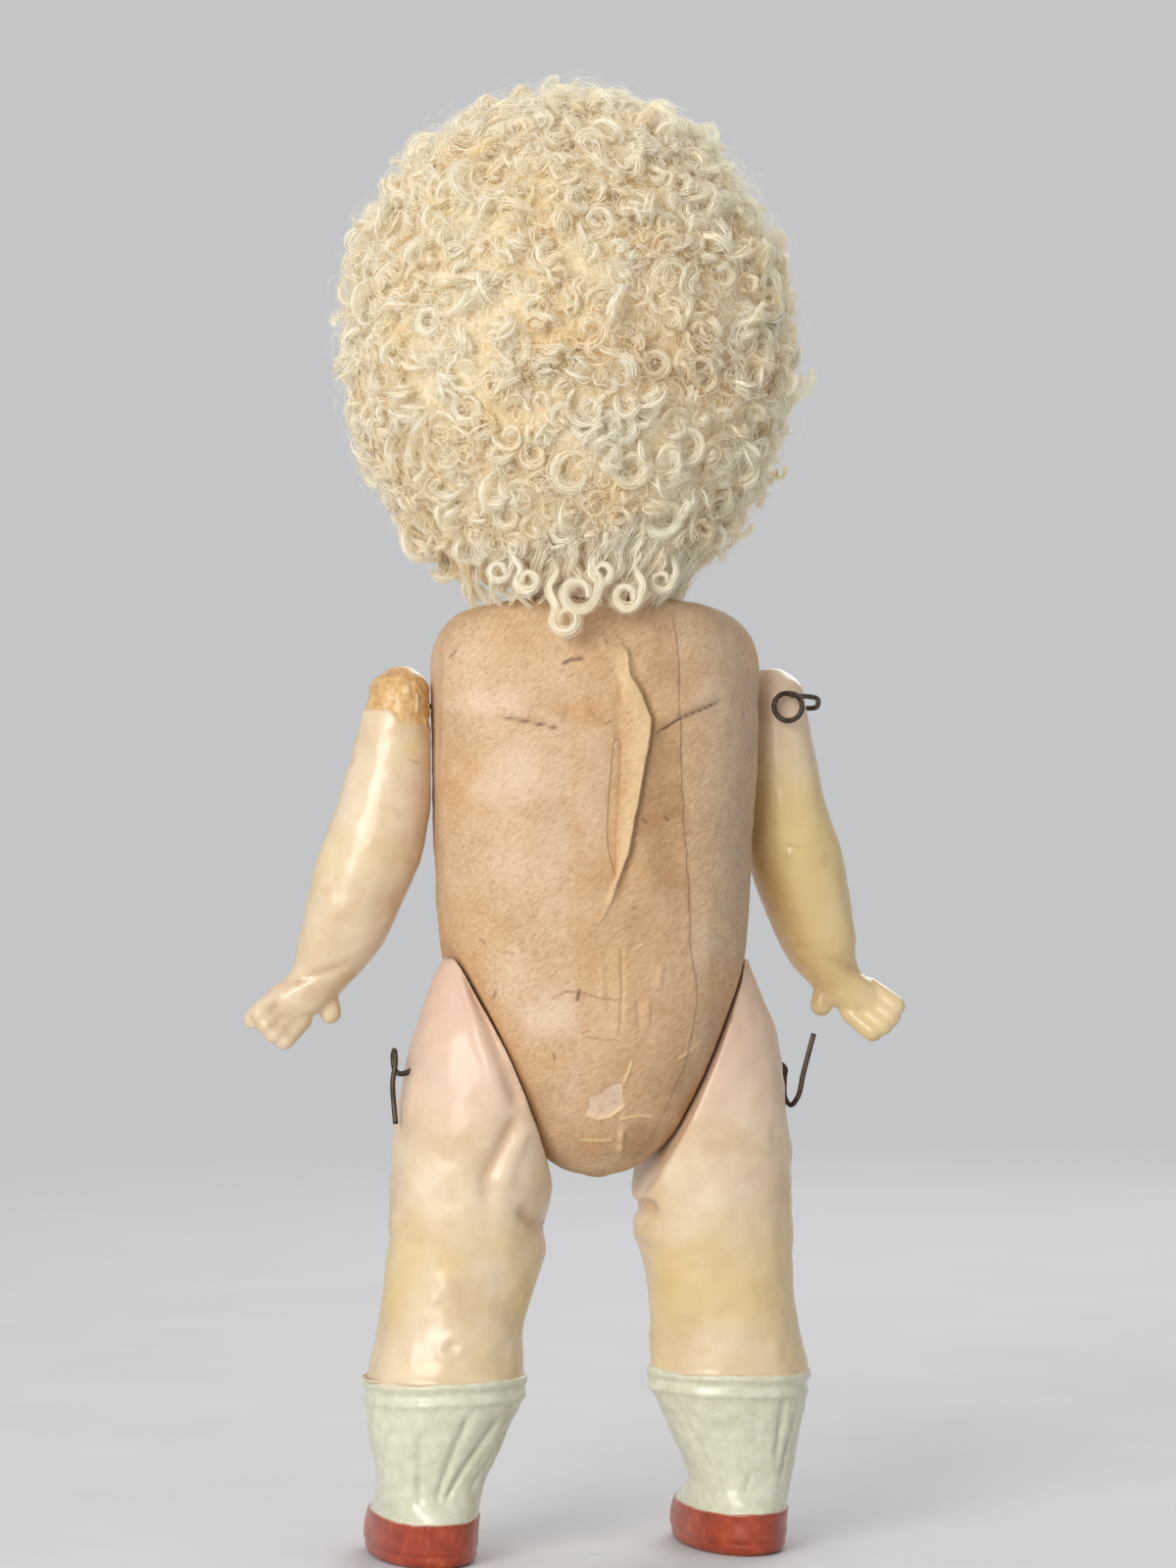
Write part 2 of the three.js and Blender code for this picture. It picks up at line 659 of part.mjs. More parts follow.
// Arms, in their own frame: the shoulder joint at the origin, x out from the flat

function armStations(lean, fullness) {
  const drift = (drop) =>
    Math.tan(degrees(lean)) * WRIST_DROP * (Math.max(0, drop) / WRIST_DROP) ** 1.7;
  const at = (drop, width, depth, aside = 0, y = 0) => ({
    x: ARM_CAP_WIDTH / 2 + drift(drop) + aside,
    y,
    z: -drop,
    width: width * fullness,
    depth,
  });
  const palmDrop = WRIST_DROP + PALM_LENGTH;
  const aside = PALM_LENGTH * Math.tan(degrees(HAND_TURN));
  const forearmDrop = (WRIST_DROP * 2 + ELBOW_DROP) / 3;
  const forearmWidth = WRIST_WIDTH * 0.6 + ELBOW_WIDTH * 0.4 + 0.5;
  const upperDepth = (ELBOW_DEPTH + ARM_CAP_DEPTH) / 2;
  const halfway = -(ELBOW_FORWARD + WRIST_FORWARD) / 2;
  return [
    at(palmDrop + 1.6, PALM_WIDTH * 0.5, PALM_DEPTH * 0.55, aside * 1.35, 0.2 - WRIST_FORWARD),
    at(palmDrop, PALM_WIDTH * 0.94, PALM_DEPTH * 0.9, aside, -WRIST_FORWARD),
    at(WRIST_DROP + PALM_LENGTH * 0.5, PALM_WIDTH, PALM_DEPTH, aside * 0.5, -WRIST_FORWARD),
    at(WRIST_DROP, WRIST_WIDTH, WRIST_DEPTH, 0, -WRIST_FORWARD),
    at(forearmDrop, forearmWidth, (WRIST_DEPTH + ELBOW_DEPTH) / 2, 0, halfway),
    at(ELBOW_DROP, ELBOW_WIDTH, ELBOW_DEPTH, 0, -ELBOW_FORWARD),
    at(ELBOW_DROP * 0.5, (ELBOW_WIDTH + ARM_CAP_WIDTH) / 2 + 0.2, upperDepth, 0, -ELBOW_FORWARD / 2),
    at(0, ARM_CAP_WIDTH, ARM_CAP_DEPTH, -0.1),
    at(-ARM_CAP * 0.62, ARM_CAP_WIDTH * 0.86, ARM_CAP_DEPTH * 0.82, -0.3),
    at(-ARM_CAP, ARM_CAP_WIDTH * 0.34, ARM_CAP_DEPTH * 0.32, -0.5),
  ];
}
const ARM_POWER = 2.1;

function armSolid(side, lean, fullness) {
  const stations = armStations(lean, fullness);
  const [tip, knuckles, palm, wrist] = stations;
  const down = vector(tip.x - wrist.x, tip.y - wrist.y, tip.z - wrist.z).normalize();
  const across = vector(-down.z, 0, down.x).normalize();
  const fingerWay = down.clone().add(vector(0, FINGER_CURL, 0)).normalize();
  const fingers = [-1.5, -0.5, 0.5, 1.5].map((place) => {
    const root = vector(knuckles.x, knuckles.y, knuckles.z);
    root.addScaledVector(across, place * FINGER_SPACING);
    const end = root.clone().addScaledVector(fingerWay, FINGER_LENGTH - Math.abs(place) * 0.5);
    return capsule(root, end, FINGER_RADIUS);
  });
  const thumbRoot = vector(palm.x, palm.y, palm.z)
    .addScaledVector(across, -palm.width * 0.32)
    .addScaledVector(down, -THUMB_RADIUS);
  const thumbEnd = thumbRoot
    .clone()
    .addScaledVector(across, -THUMB_LENGTH * 0.9)
    .addScaledVector(down, THUMB_LENGTH * 0.3);
  const thumb = capsule(thumbRoot, thumbEnd, THUMB_RADIUS);
  const bare = joined(solid(skin(stations, LIMB_SIDES, ARM_POWER)), ...fingers, thumb);
  const flat = beyond(vector(FIT_GAP, 0, 0), vector(1, 0, 0));
  const boreEnd = side > 0 ? ARM_SHANK + FIT_GAP : FAR / 4;
  const bore = rod(vector(-FAR / 4, 0, 0), vector(boreEnd, 0, 0), hookBore);
  const arm = bare.intersect(flat).subtract(bore);
  return side > 0 ? arm : mirrorX(arm);
}

// The arm's hook: a ring in the torso and a shank in the shoulder. The left one ends inside the arm.
// The right one goes through it, round its outside, and ends in a round eye against the back of it.
function armHook(side) {
  const frame = mirrored(jointFrame(vector(0, 0, 0), vector(1, 0, 0), vector(0, 0, 1)), side);
  const start = ringStart(armElasticAngle, -ARM_SWING_FORWARD, ARM_SWING_BACK);
  const ring = ringEnd(frame, -HOOK_REACH, start).reverse();
  const shank = [offAxis(frame, -1.5), offAxis(frame, ARM_SHANK)];
  if (side > 0) return solid(tube([...ring, ...shank], WIRE_RADIUS, WIRE_SIDES, 30));

  const outside = ARM_CAP_WIDTH + WIRE_RADIUS + FIT_GAP;
  const behind = ARM_CAP_DEPTH / 2 + WIRE_RADIUS + 2 * FIT_GAP;
  const round = [
    offAxis(frame, outside + 0.3),
    offAxis(frame, outside + 0.2, behind * 0.32, degrees(-78)),
    offAxis(frame, outside - 0.9, behind * 0.78, degrees(-75)),
  ];
  const eyeMiddle = offAxis(frame, ARM_EYE_OUT, behind, degrees(-90));
  const eyePoints = 12;
  const eye = Array.from({ length: eyePoints + 1 }, (_, i) => {
    const turn = degrees(-30 + (400 * i) / eyePoints);
    return eyeMiddle
      .clone()
      .addScaledVector(frame.up, ARM_EYE_RADIUS * Math.cos(turn))
      .addScaledVector(frame.axis, -ARM_EYE_RADIUS * Math.sin(turn))
      .addScaledVector(frame.front, (-WIRE_RADIUS * 3 * i) / eyePoints);
  });
  return solid(tube([...ring, ...shank, ...round, ...eye], WIRE_RADIUS, WIRE_SIDES, 50));
}

// Head

// Soft swellings of the face: where each one lies from the head's centre, how high and how wide
const swellings = [
  { x: 0, z: -NOSE_DROP, height: NOSE_LENGTH, spread: NOSE_SPREAD },
  { x: 0, z: -CHIN_DROP, height: CHIN_SWELL, spread: CHIN_SPREAD },
  { x: CHEEK_ASIDE, z: -CHEEK_DROP, height: CHEEK_SWELL, spread: CHEEK_SPREAD },
  { x: -CHEEK_ASIDE, z: -CHEEK_DROP, height: CHEEK_SWELL, spread: CHEEK_SPREAD },
];

function faceSwell(x, y, z) {
  if (y > 0) return 0;
  return swellings.reduce((sum, s) => {
    const away = ((x - s.x) ** 2 + (z - s.z) ** 2) / (2 * s.spread ** 2);
    return sum + s.height * Math.exp(-away);
  }, 0);
}

function headPoint(direction, grow) {
  const tall = direction.z > 0 ? HEAD_ABOVE : HEAD_BELOW;
  const size = vector(HEAD_WIDTH / 2 + grow, HEAD_DEPTH / 2 + grow, tall + grow);
  const bare = direction.clone().multiply(size);
  const normal = bare.clone().divide(size).divide(size).normalize();
  return bare.addScaledVector(normal, faceSwell(bare.x, bare.y, bare.z));
}

// The rings of a closed dome shape, from near its lower pole to near its upper one
function domeRings(sides, rings, pointOf) {
  const poleMargin = degrees(4);
  return Array.from({ length: rings + 1 }, (_, r) => {
    const height = -Math.PI / 2 + poleMargin + ((Math.PI - 2 * poleMargin) * r) / rings;
    return Array.from({ length: sides }, (_, i) => {
      const turn = (2 * Math.PI * i) / sides;
      return pointOf(
        vector(Math.cos(height) * Math.cos(turn), Math.cos(height) * Math.sin(turn), Math.sin(height)),
      );
    });
  });
}

function headBody(grow, sides = HEAD_SIDES, rings = HEAD_RINGS) {
  const dome = loft(domeRings(sides, rings, (direction) => headPoint(direction, grow)));
  return solid(dome.translate(headCentre.x, headCentre.y, headCentre.z));
}

function neckBall(grow) {
  return ball(neckFrame.origin, NECK_RADIUS + grow, HEAD_SIDES - 8);
}

const headBare = joined(headBody(0), neckBall(0));
const crownPoint = headCentre.clone().add(vector(0, 0, CROWN_HEIGHT));
const crownNormal = vector(0, Math.sin(degrees(CROWN_TILT)), Math.cos(degrees(CROWN_TILT)));

// Each eye sits so that its front lies just inside the face
function eyeDepth() {
  const share = EYE_SPREAD / (HEAD_WIDTH / 2);
  return headCentre.y - (HEAD_DEPTH / 2) * Math.sqrt(1 - share ** 2) + EYE_RADIUS + EYE_SETBACK;
}
const eyeCentre = (side) => vector(HEAD_ASIDE + side * EYE_SPREAD, eyeDepth(), eyeHeight);

function headShell() {
  const neckBottom = neckFrame.origin.z - NECK_RADIUS;
  const hollow = joined(
    headBody(-HEAD_WALL, 16, 11),
    neckBall(-NECK_WALL),
    rod(vector(0, 0, neckBottom - NECK_WALL), neckFrame.origin, NECK_BORE),
  );
  const sockets = [1, -1].flatMap((side) => {
    const centre = eyeCentre(side);
    return [
      ball(centre, EYE_RADIUS + FIT_GAP, EYE_SIDES),
      rod(centre, centre.clone().add(vector(0, -FAR / 8, 0)), EYE_OPENING, EYE_SIDES),
    ];
  });
  return cut(headBare, hollow, ...sockets, beyond(crownPoint, crownNormal));
}

function crownPate() {
  const lifted = crownPoint.clone().addScaledVector(crownNormal, FIT_GAP);
  return headBody(0).subtract(headBody(-PATE_WALL)).intersect(beyond(lifted, crownNormal));
}

// Everything in front of the hairline, and below the nape
function hairline(margin) {
  const arch = new THREE.Shape();
  const half = FACE_HALF_WIDTH - margin;
  arch.absellipse(0, 0, half, FACE_ABOVE + half * 0.35 - margin, 0, Math.PI);
  arch.lineTo(-half, -JAW_DROP);
  arch.lineTo(-half - FACE_FLARE, -JAW_DROP - FACE_FLARE);
  arch.lineTo(-half - FACE_FLARE, -FAR / 4);
  arch.lineTo(half + FACE_FLARE, -FAR / 4);
  arch.lineTo(half + FACE_FLARE, -JAW_DROP - FACE_FLARE);
  arch.lineTo(half, -JAW_DROP);
  const front = new THREE.ExtrudeGeometry(arch, { depth: FAR / 4, bevelEnabled: false, curveSegments: 12 });
  const eyeLine = eyeHeight + 1.0;
  return solid(front.rotateX(Math.PI / 2).translate(HEAD_ASIDE, -FACE_CUT_BACK - margin, eyeLine));
}

function wigCap() {
  const skinOuter = headBody(FIT_GAP + CAP_THICKNESS);
  const headRoom = headBody(FIT_GAP);
  const nape = neckFrame.origin.z + NECK_RADIUS * 0.25;
  return cut(
    skinOuter,
    headRoom,
    neckBall(FIT_GAP),
    hairline(-CAP_REVEAL),
    beyond(vector(0, 0, nape), vector(0, 0, -1)),
  );
}

// The fleece: a full dome with a swelling over each curl
function fleecePoint(direction, curls) {
  const tall = direction.z > 0 ? HEAD_ABOVE + FLEECE_ON_TOP : HEAD_BELOW + FLEECE_HANG;
  const size = vector(HEAD_WIDTH / 2 + FLEECE_AT_SIDES, HEAD_DEPTH / 2 + FLEECE_AT_BACK, tall);
  const spacing = Math.sqrt((4 * Math.PI) / CURL_COUNT);
  const nearest = curls.reduce((least, curl) => Math.min(least, curl.angleTo(direction)), Math.PI);
  const swell = CURL_SWELL * Math.cos(Math.min(1, nearest / spacing) * Math.PI);
  return direction.clone().multiply(size).addScaledVector(direction, swell);
}

function wigFleece() {
  const golden = Math.PI * (3 - Math.sqrt(5));
  const curls = Array.from({ length: CURL_COUNT }, (_, i) => {
    const z = 1 - (2 * i + 1) / CURL_COUNT;
    const flat = Math.sqrt(1 - z * z);
    return vector(flat * Math.cos(golden * i), flat * Math.sin(golden * i), z);
  });
  const place = headCentre.clone().add(vector(FLEECE_ASIDE, FLEECE_BACK, FLEECE_RISE));
  const dome = loft(domeRings(42, 27, (direction) => fleecePoint(direction, curls)));
  const capRoom = headBody(2 * FIT_GAP + CAP_THICKNESS);
  return cut(
    solid(dome.translate(place.x, place.y, place.z)),
    capRoom,
    neckBall(FIT_GAP * 2),
    hairline(0),
    beyond(vector(0, 0, torsoTop + NAPE_CLEARANCE), vector(0, 0, -1)),
  );
}

// Neck button and hook

const buttonTop = neckFrame.origin.z - NECK_RADIUS + NECK_WALL + FIT_GAP + NECK_BUTTON_HEIGHT;

function neckButton() {
  const round = ball(neckFrame.origin, NECK_RADIUS - NECK_WALL - FIT_GAP, HEAD_SIDES - 8);
  const bore = rod(vector(0, 0, torsoBottom), vector(0, 0, buttonTop + FIT_GAP), hookBore);
  return cut(round, beyond(vector(0, 0, buttonTop), vector(0, 0, 1)), bore);
}

function neckHook() {
  const lower = ringEnd(neckFrame, neckRingAlong, ringStart(neckElasticAngle, -HEAD_TURN, HEAD_TURN));
  const upside = jointFrame(neckFrame.origin, neckFrame.axis.clone().negate(), neckFrame.up);
  const seat = neckFrame.origin.z - buttonTop - FIT_GAP - WIRE_RADIUS;
  const upper = ringEnd(upside, seat - SPIRAL_LEAD, 0, HOOK_RING_RADIUS - 0.6);
  return solid(tube([...lower.reverse(), ...upper], WIRE_RADIUS, WIRE_SIDES, 52));
}

// Eye rocker: a plaster bridge that carries both eyes, with a lead weight on a stem

const pivot = vector(HEAD_ASIDE, eyeDepth(), eyeHeight);

function eyeBridge() {
  const back = EYE_RADIUS + FIT_GAP;
  const reach = EYE_SPREAD + BRIDGE_OVERLAP;
  const bar = new THREE.BoxGeometry(2 * reach, BRIDGE_THICKNESS, BRIDGE_HEIGHT, 4, 1, 1);
  const behind = pivot.y + back + BRIDGE_THICKNESS / 2 - BRIDGE_OVERLAP;
  bar.translate(pivot.x, behind, pivot.z);
  const rooms = [1, -1].map((side) => ball(eyeCentre(side), back, EYE_SIDES));
  return cut(solid(bar), ...rooms);
}

const hang = vector(0, Math.sin(degrees(WEIGHT_ANGLE)), -Math.cos(degrees(WEIGHT_ANGLE)));
const weightCentre = pivot.clone().addScaledVector(hang, WEIGHT_ARM);

function leadWeight(grow) {
  const half = hang.clone().multiplyScalar(WEIGHT_LENGTH / 2);
  return capsule(weightCentre.clone().sub(half), weightCentre.clone().add(half), WEIGHT_RADIUS + grow);
}

function eyeWeight() {
  const stemTop = vector(
    pivot.x,
    pivot.y + EYE_RADIUS + FIT_GAP + BRIDGE_THICKNESS / 2 - BRIDGE_OVERLAP,
    pivot.z - BRIDGE_HEIGHT / 2 - FIT_GAP,
  );
  return joined(leadWeight(0), rod(stemTop, weightCentre, STEM_RADIUS));
}

// A cork block in the chin that the weight rests against
function eyeStop() {
  const block = new THREE.BoxGeometry(STOP_WIDTH, FAR / 8, STOP_HEIGHT);
  block.translate(pivot.x, weightCentre.y - FAR / 16, weightCentre.z);
  return solid(block)
    .intersect(headBody(-HEAD_WALL - FIT_GAP, 16, 11))
    .subtract(leadWeight(FIT_GAP));
}

// A plaster pad at each temple that keeps the eye in its socket
function eyePad(side) {
  const centre = eyeCentre(side);
  const inner = EYE_SPREAD + BRIDGE_OVERLAP + 2 * FIT_GAP;
  const width = FAR / 8;
  const block = new THREE.BoxGeometry(width, PAD_DEPTH, PAD_HEIGHT);
  block.translate(HEAD_ASIDE + side * (inner + width / 2), centre.y + PAD_DEPTH / 2 + 1, centre.z);
  return solid(block)
    .intersect(headBody(-HEAD_WALL - FIT_GAP, 16, 11))
    .subtract(ball(centre, EYE_RADIUS + FIT_GAP, EYE_SIDES));
}

// Materials

function material(name, colour, roughness, metalness = 0) {
  return new THREE.MeshStandardMaterial({ name, color: colour, roughness, metalness });
}
const bisque = material("bisque", 0xf0c9b0, 0.45);
const card = material("card", 0xc89a6c, 0.85);
const paper = material("paper", 0xcfa273, 0.9);
const composition = material("composition", 0xead2a8, 0.35);
const fleece = material("fleece", 0xeddcb0, 0.8);
const hide = material("hide", 0xd9bd92, 0.9);
const wire = material("wire", 0x4a4138, 0.5, 0.8);
const elastic = material("elastic", 0x8d8577, 0.9);
const glass = material("glass", 0xf3f1ea, 0.08);
const plaster = material("plaster", 0xe8e4da, 0.9);
const lead = material("lead", 0x77797c, 0.6, 0.6);
const wood = material("wood", 0xb98a55, 0.7);

// Assembly: each moving piece hangs in a group at its joint

function piece(name, body, finish) {
  const mesh = new THREE.Mesh(geometryOf(body), finish);
  mesh.name = name;
  return mesh;
}

function group(...members) {
  const made = new THREE.Group();
  made.add(...members);
  return made;
}

function armGroup(name, side, lean, fullness) {
  const arm = group(
    piece(`${name}_arm`, armSolid(side, lean, fullness), composition),
    piece(`${name}_arm_hook`, armHook(side), wire),
  );
  arm.position.copy(mirrored(shoulderFrame, side).origin);
  return arm;
}

const torso = group(
  piece("torso_left_half", torsoHalf(1), card),
  piece("torso_right_half", torsoHalf(-1), card),
  piece("back_seam_paper", seamPaper(1, BACK_PAPER_WIDTH), paper),
  piece("front_seam_paper", seamPaper(-1, FRONT_PAPER_WIDTH), paper),
  piece("arm_elastic", armElastic(), elastic),
  piece("head_leg_elastic", headLegElastic(), elastic),
);
const legs = group(
  piece("left_leg", legSolid(1), composition),
  piece("right_leg", legSolid(-1), composition),
  piece("left_leg_hook", legHook(1), wire),
  piece("right_leg_hook", legHook(-1), wire),
);
const eyes = group(
  piece("left_eye", ball(eyeCentre(1), EYE_RADIUS, EYE_SIDES), glass),
  piece("right_eye", ball(eyeCentre(-1), EYE_RADIUS, EYE_SIDES), glass),
  piece("eye_bridge", eyeBridge(), plaster),
  piece("eye_weight", eyeWeight(), lead),
);
const head = group(
  piece("head_shell", headShell(), bisque),
  piece("crown_pate", crownPate(), card),
  piece("wig_cap", wigCap(), hide),
  piece("wig_fleece", wigFleece(), fleece),
  piece("neck_button", neckButton(), wood),
  piece("neck_hook", neckHook(), wire),
  piece("left_eye_pad", eyePad(1), plaster),
  piece("right_eye_pad", eyePad(-1), plaster),
  piece("eye_stop", eyeStop(), wood),
  eyes,
);
const standing = group(
  torso,
  legs,
  head,
  armGroup("left", 1, LEFT_ARM_LEAN, LEFT_ARM_FULLNESS),
  armGroup("right", -1, RIGHT_ARM_LEAN, RIGHT_ARM_FULLNESS),
);

// The origin is on the ground, under the middle of the doll's outline
const box = new THREE.Box3().setFromObject(standing);
const middle = box.getCenter(vector(0, 0, 0));
standing.position.set(-middle.x, -middle.y, -box.min.z);

const placed = (point) =>
  point
    .clone()
    .add(standing.position)
    .toArray()
    .map((n) => Number(n.toFixed(3)));
console.log("size", box.getSize(vector(0, 0, 0)).toArray().map((n) => n.toFixed(2)).join(" x "));
console.log("left hip", placed(hipFrame.origin), "right", placed(mirrored(hipFrame, -1).origin));
const shoulders = [1, -1].map((side) => placed(mirrored(shoulderFrame, side).origin));
console.log("left shoulder", shoulders[0], "right", shoulders[1]);
console.log("neck", placed(neckFrame.origin), "eyes", placed(pivot));
for (const side of [1, -1]) {
  const sole = legStations(side)[0];
  console.log(side > 0 ? "left sole" : "right sole", placed(vector(side * sole.x, sole.y, 0)));
}

export default group(standing);
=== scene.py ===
import itertools
import json
import math

import bpy
import numpy as np
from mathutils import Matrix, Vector
from mathutils.bvhtree import BVHTree


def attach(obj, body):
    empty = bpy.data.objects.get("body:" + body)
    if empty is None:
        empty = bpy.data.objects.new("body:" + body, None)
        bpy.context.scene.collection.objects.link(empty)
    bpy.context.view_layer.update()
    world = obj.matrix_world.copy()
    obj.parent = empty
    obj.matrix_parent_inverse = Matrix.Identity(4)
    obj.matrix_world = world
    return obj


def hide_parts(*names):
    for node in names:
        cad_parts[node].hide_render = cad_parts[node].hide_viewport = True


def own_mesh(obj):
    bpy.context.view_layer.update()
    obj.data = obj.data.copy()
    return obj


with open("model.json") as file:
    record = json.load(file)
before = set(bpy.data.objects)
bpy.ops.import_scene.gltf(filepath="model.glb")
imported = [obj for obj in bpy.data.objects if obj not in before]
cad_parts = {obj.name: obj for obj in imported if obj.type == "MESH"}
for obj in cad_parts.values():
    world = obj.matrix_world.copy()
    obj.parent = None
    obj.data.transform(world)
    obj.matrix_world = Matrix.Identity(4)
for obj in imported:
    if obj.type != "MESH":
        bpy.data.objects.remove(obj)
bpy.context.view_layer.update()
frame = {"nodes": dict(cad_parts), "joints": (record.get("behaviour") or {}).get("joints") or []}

# Sizes in millimetres, in the doll's own frame: upright on the ground, facing -Y, its left at +X
MM = 0.001
NAMES = {1: "left", -1: "right"}
HIP = np.array([14.0, 0, 63.8])
HIP_SLANT = math.radians(24)
HIP_NORMAL = np.array([math.cos(HIP_SLANT), 0, -math.sin(HIP_SLANT)])
HIP_GAP = 0.25
LIMB_POWER = 2.1
NECK = np.array([0, 0, 119.6])
NECK_RADIUS = 8.2
SHOULDER = np.array([20.0, -3.5, 103.8])
HEAD = np.array([1.2, -3.0, 145.8])
HEAD_SIZE = np.array([21.5, 22.0, 25.5])
HEAD_BELOW = 26.0
EYE_RADIUS = 6.2
EYE_SPREAD = 8.7
EYE_RISE = 0.6
EYE_OPENING = 4.7
WIG = np.array([3.4, -0.4, 148.8])
WIG_SIZE = np.array([27.6, 26.6, 30.2])
WIG_BELOW = 34.4
NAPE = 117.6

joint_places = {joint["name"]: np.array(joint["pos_m"]) / MM for joint in frame["joints"]}
OFFSET = joint_places["head_turn"] - NECK
EYES = joint_places["eye_sleep"] - OFFSET


# Number helpers

def ease(low, high, x):
    share = np.clip((np.asarray(x, float) - low) / (high - low), 0, 1)
    return share * share * (3 - 2 * share)


def hump(x, centre, spread):
    return np.exp(-(((np.asarray(x, float) - centre) / spread) ** 2))


def unit(vectors):
    return vectors / np.maximum(np.linalg.norm(vectors, axis=-1, keepdims=True), 1e-9)


def hashed(cells, seed):
    x, y, z = (cells[..., i].astype(np.int64) for i in range(3))
    mixed = x * 374761393 + y * 668265263 + z * 1274126177 + seed * 974711
    mixed = (mixed ^ (mixed >> 13)) * 1103515245
    mixed = mixed ^ (mixed >> 16)
    return (mixed & 0xFFFF) / 32767.5 - 1


def lumps(points, size, octaves=1, seed=0):
    """Smooth random values from -1 to 1, with lumps about that many millimetres across."""
    total = np.zeros(points.shape[:-1])
    for octave in range(octaves):
        place = points * (2**octave / size)
        cell = np.floor(place)
        part = place - cell
        part = part * part * (3 - 2 * part)
        for corner in itertools.product((0, 1), repeat=3):
            share = np.prod(np.where(corner, part, 1 - part), axis=-1)
            total += share * hashed(cell + corner, seed + octave) * 0.5**octave
    return total


def through(stations, places):
    """Values on a smooth curve through the rows of stations, at places counted in rows."""
    rows = np.array(stations, float)
    first = np.clip(np.floor(places).astype(int), 0, len(rows) - 2)
    p = (places - first)[:, None]
    inside_low = first > 0
    inside_high = first + 2 < len(rows)
    before = rows[np.where(inside_low, first - 1, first + 1)]
    after = rows[np.where(inside_high, first + 2, first)]
    low = np.where(inside_low, 0.5, -0.5)[:, None]
    high = np.where(inside_high, 0.5, -0.5)[:, None]
    return (
        before * (-low * p**3 + 2 * low * p**2 - low * p)
        + rows[first] * ((1 + low) * p**3 - (1.5 + 2 * low) * p**2 + (low - 0.5) * p + 1)
        + rows[first + 1] * (-(1 + high) * p**3 + (1.5 + high) * p**2 + 0.5 * p)
        + after * (high * p**3 - high * p**2)
    )


def line_distance(x, z, line):
    """How far points lie from a broken line, and how far along it, from 0 to 1."""
    least = np.full(np.shape(x), 1e9)
    along = np.zeros(np.shape(x))
    spans = len(line) - 1
    for i in range(spans):
        (ax, az), (bx, bz) = line[i], line[i + 1]
        dx, dz = bx - ax, bz - az
        share = np.clip(((x - ax) * dx + (z - az) * dz) / (dx * dx + dz * dz), 0, 1)
        away = np.hypot(x - ax - share * dx, z - az - share * dz)
        along = np.where(away < least, (i + share) / spans, along)
        least = np.minimum(least, away)
    return least, along


# Mesh helpers: points are in the doll's frame

def mesh_of(name, points, quads, tris=()):
    quads = np.asarray(quads, np.int32).reshape(-1, 4)
    tris = np.asarray(tris, np.int32).reshape(-1, 3)
    mesh = bpy.data.meshes.new(name)
    mesh.vertices.add(len(points))
    mesh.vertices.foreach_set("co", ((points + OFFSET) * MM).astype(np.float32).ravel())
    corners = np.concatenate([quads.ravel(), tris.ravel()])
    mesh.loops.add(len(corners))
    mesh.loops.foreach_set("vertex_index", corners)
    starts = np.concatenate([np.arange(len(quads)) * 4, len(quads) * 4 + np.arange(len(tris)) * 3])
    mesh.polygons.add(len(starts))
    mesh.polygons.foreach_set("loop_start", starts)
    mesh.polygons.foreach_set("use_smooth", np.ones(len(starts), bool))
    mesh.update(calc_edges=True)
    mesh.validate()
    return mesh


def piece(name, mesh, body, finish, slot, replaced=(), **values):
    """A new piece of the doll, with values kept at its points for the materials to read."""
    made = bpy.data.objects.new(name, mesh)
    bpy.context.scene.collection.objects.link(made)
    mesh.materials.append(finish)
    for key, value in values.items():
        kept = np.broadcast_to(np.asarray(value, np.float32), len(mesh.vertices))
        mesh.attributes.new(key, "FLOAT", "POINT").data.foreach_set("value", np.ascontiguousarray(kept))
    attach(made, body)
    if replaced:
        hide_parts(*replaced)
    return made


def loft(rings):
    """Faces through stacked rings, closed with a fan at either end."""
    rows, sides = rings.shape[:2]
    index = np.arange(rows * sides).reshape(rows, sides)
    turned = np.roll(index, -1, 1)
    quads = np.stack([index[:-1], turned[:-1], turned[1:], index[1:]], -1).reshape(-1, 4)
    points = rings.reshape(-1, 3)
    tris = []
    for row, order in ((0, [0, 2, 1]), (-1, [0, 1, 2])):
        hub = np.full(sides, len(points))
        tris.append(np.stack([hub, index[row], turned[row]], -1)[:, order])
        points = np.vstack([points, rings[row].mean(0)])
    return points, quads, np.vstack(tris)


def ringed(values):
    """Values at a loft's points: those of its rings, then the mean at either end."""
    return np.append(values.ravel(), [values[0].mean(), values[-1].mean()])


def grid_faces(rows, columns):
    index = np.arange(rows * columns).reshape(rows, columns)
    return np.stack([index[:-1, :-1], index[:-1, 1:], index[1:, 1:], index[1:, :-1]], -1).reshape(-1, 4)


def oval(sections, sides, power):
    """Level rings from rows of x, y, z, width and depth, squarer the higher the power."""
    angle = np.linspace(0, 2 * math.pi, sides, endpoint=False)
    across = np.sign(np.cos(angle)) * np.abs(np.cos(angle)) ** (2 / power)
    along = np.sign(np.sin(angle)) * np.abs(np.sin(angle)) ** (2 / power)
    x = sections[:, 0:1] + sections[:, 3:4] / 2 * across
    y = sections[:, 1:2] + sections[:, 4:5] / 2 * along
    return np.stack([x, y, np.repeat(sections[:, 2:3], sides, 1)], -1)


def ring_normals(rings):
    around = np.roll(rings, -1, 1) - np.roll(rings, 1, 1)
    up = np.gradient(rings, axis=0)
    return unit(np.cross(around, up))


def joined(shells):
    """The points, quads and triangles of several shells as those of one."""
    parts, count = [], 0
    for points, quads, tris in shells:
        quads = np.asarray(quads).reshape(-1, 4) + count
        tris = np.asarray(tris, int).reshape(-1, 3) + count
        parts.append((points, quads, tris))
        count += len(points)
    return [np.vstack(part) for part in zip(*parts)]


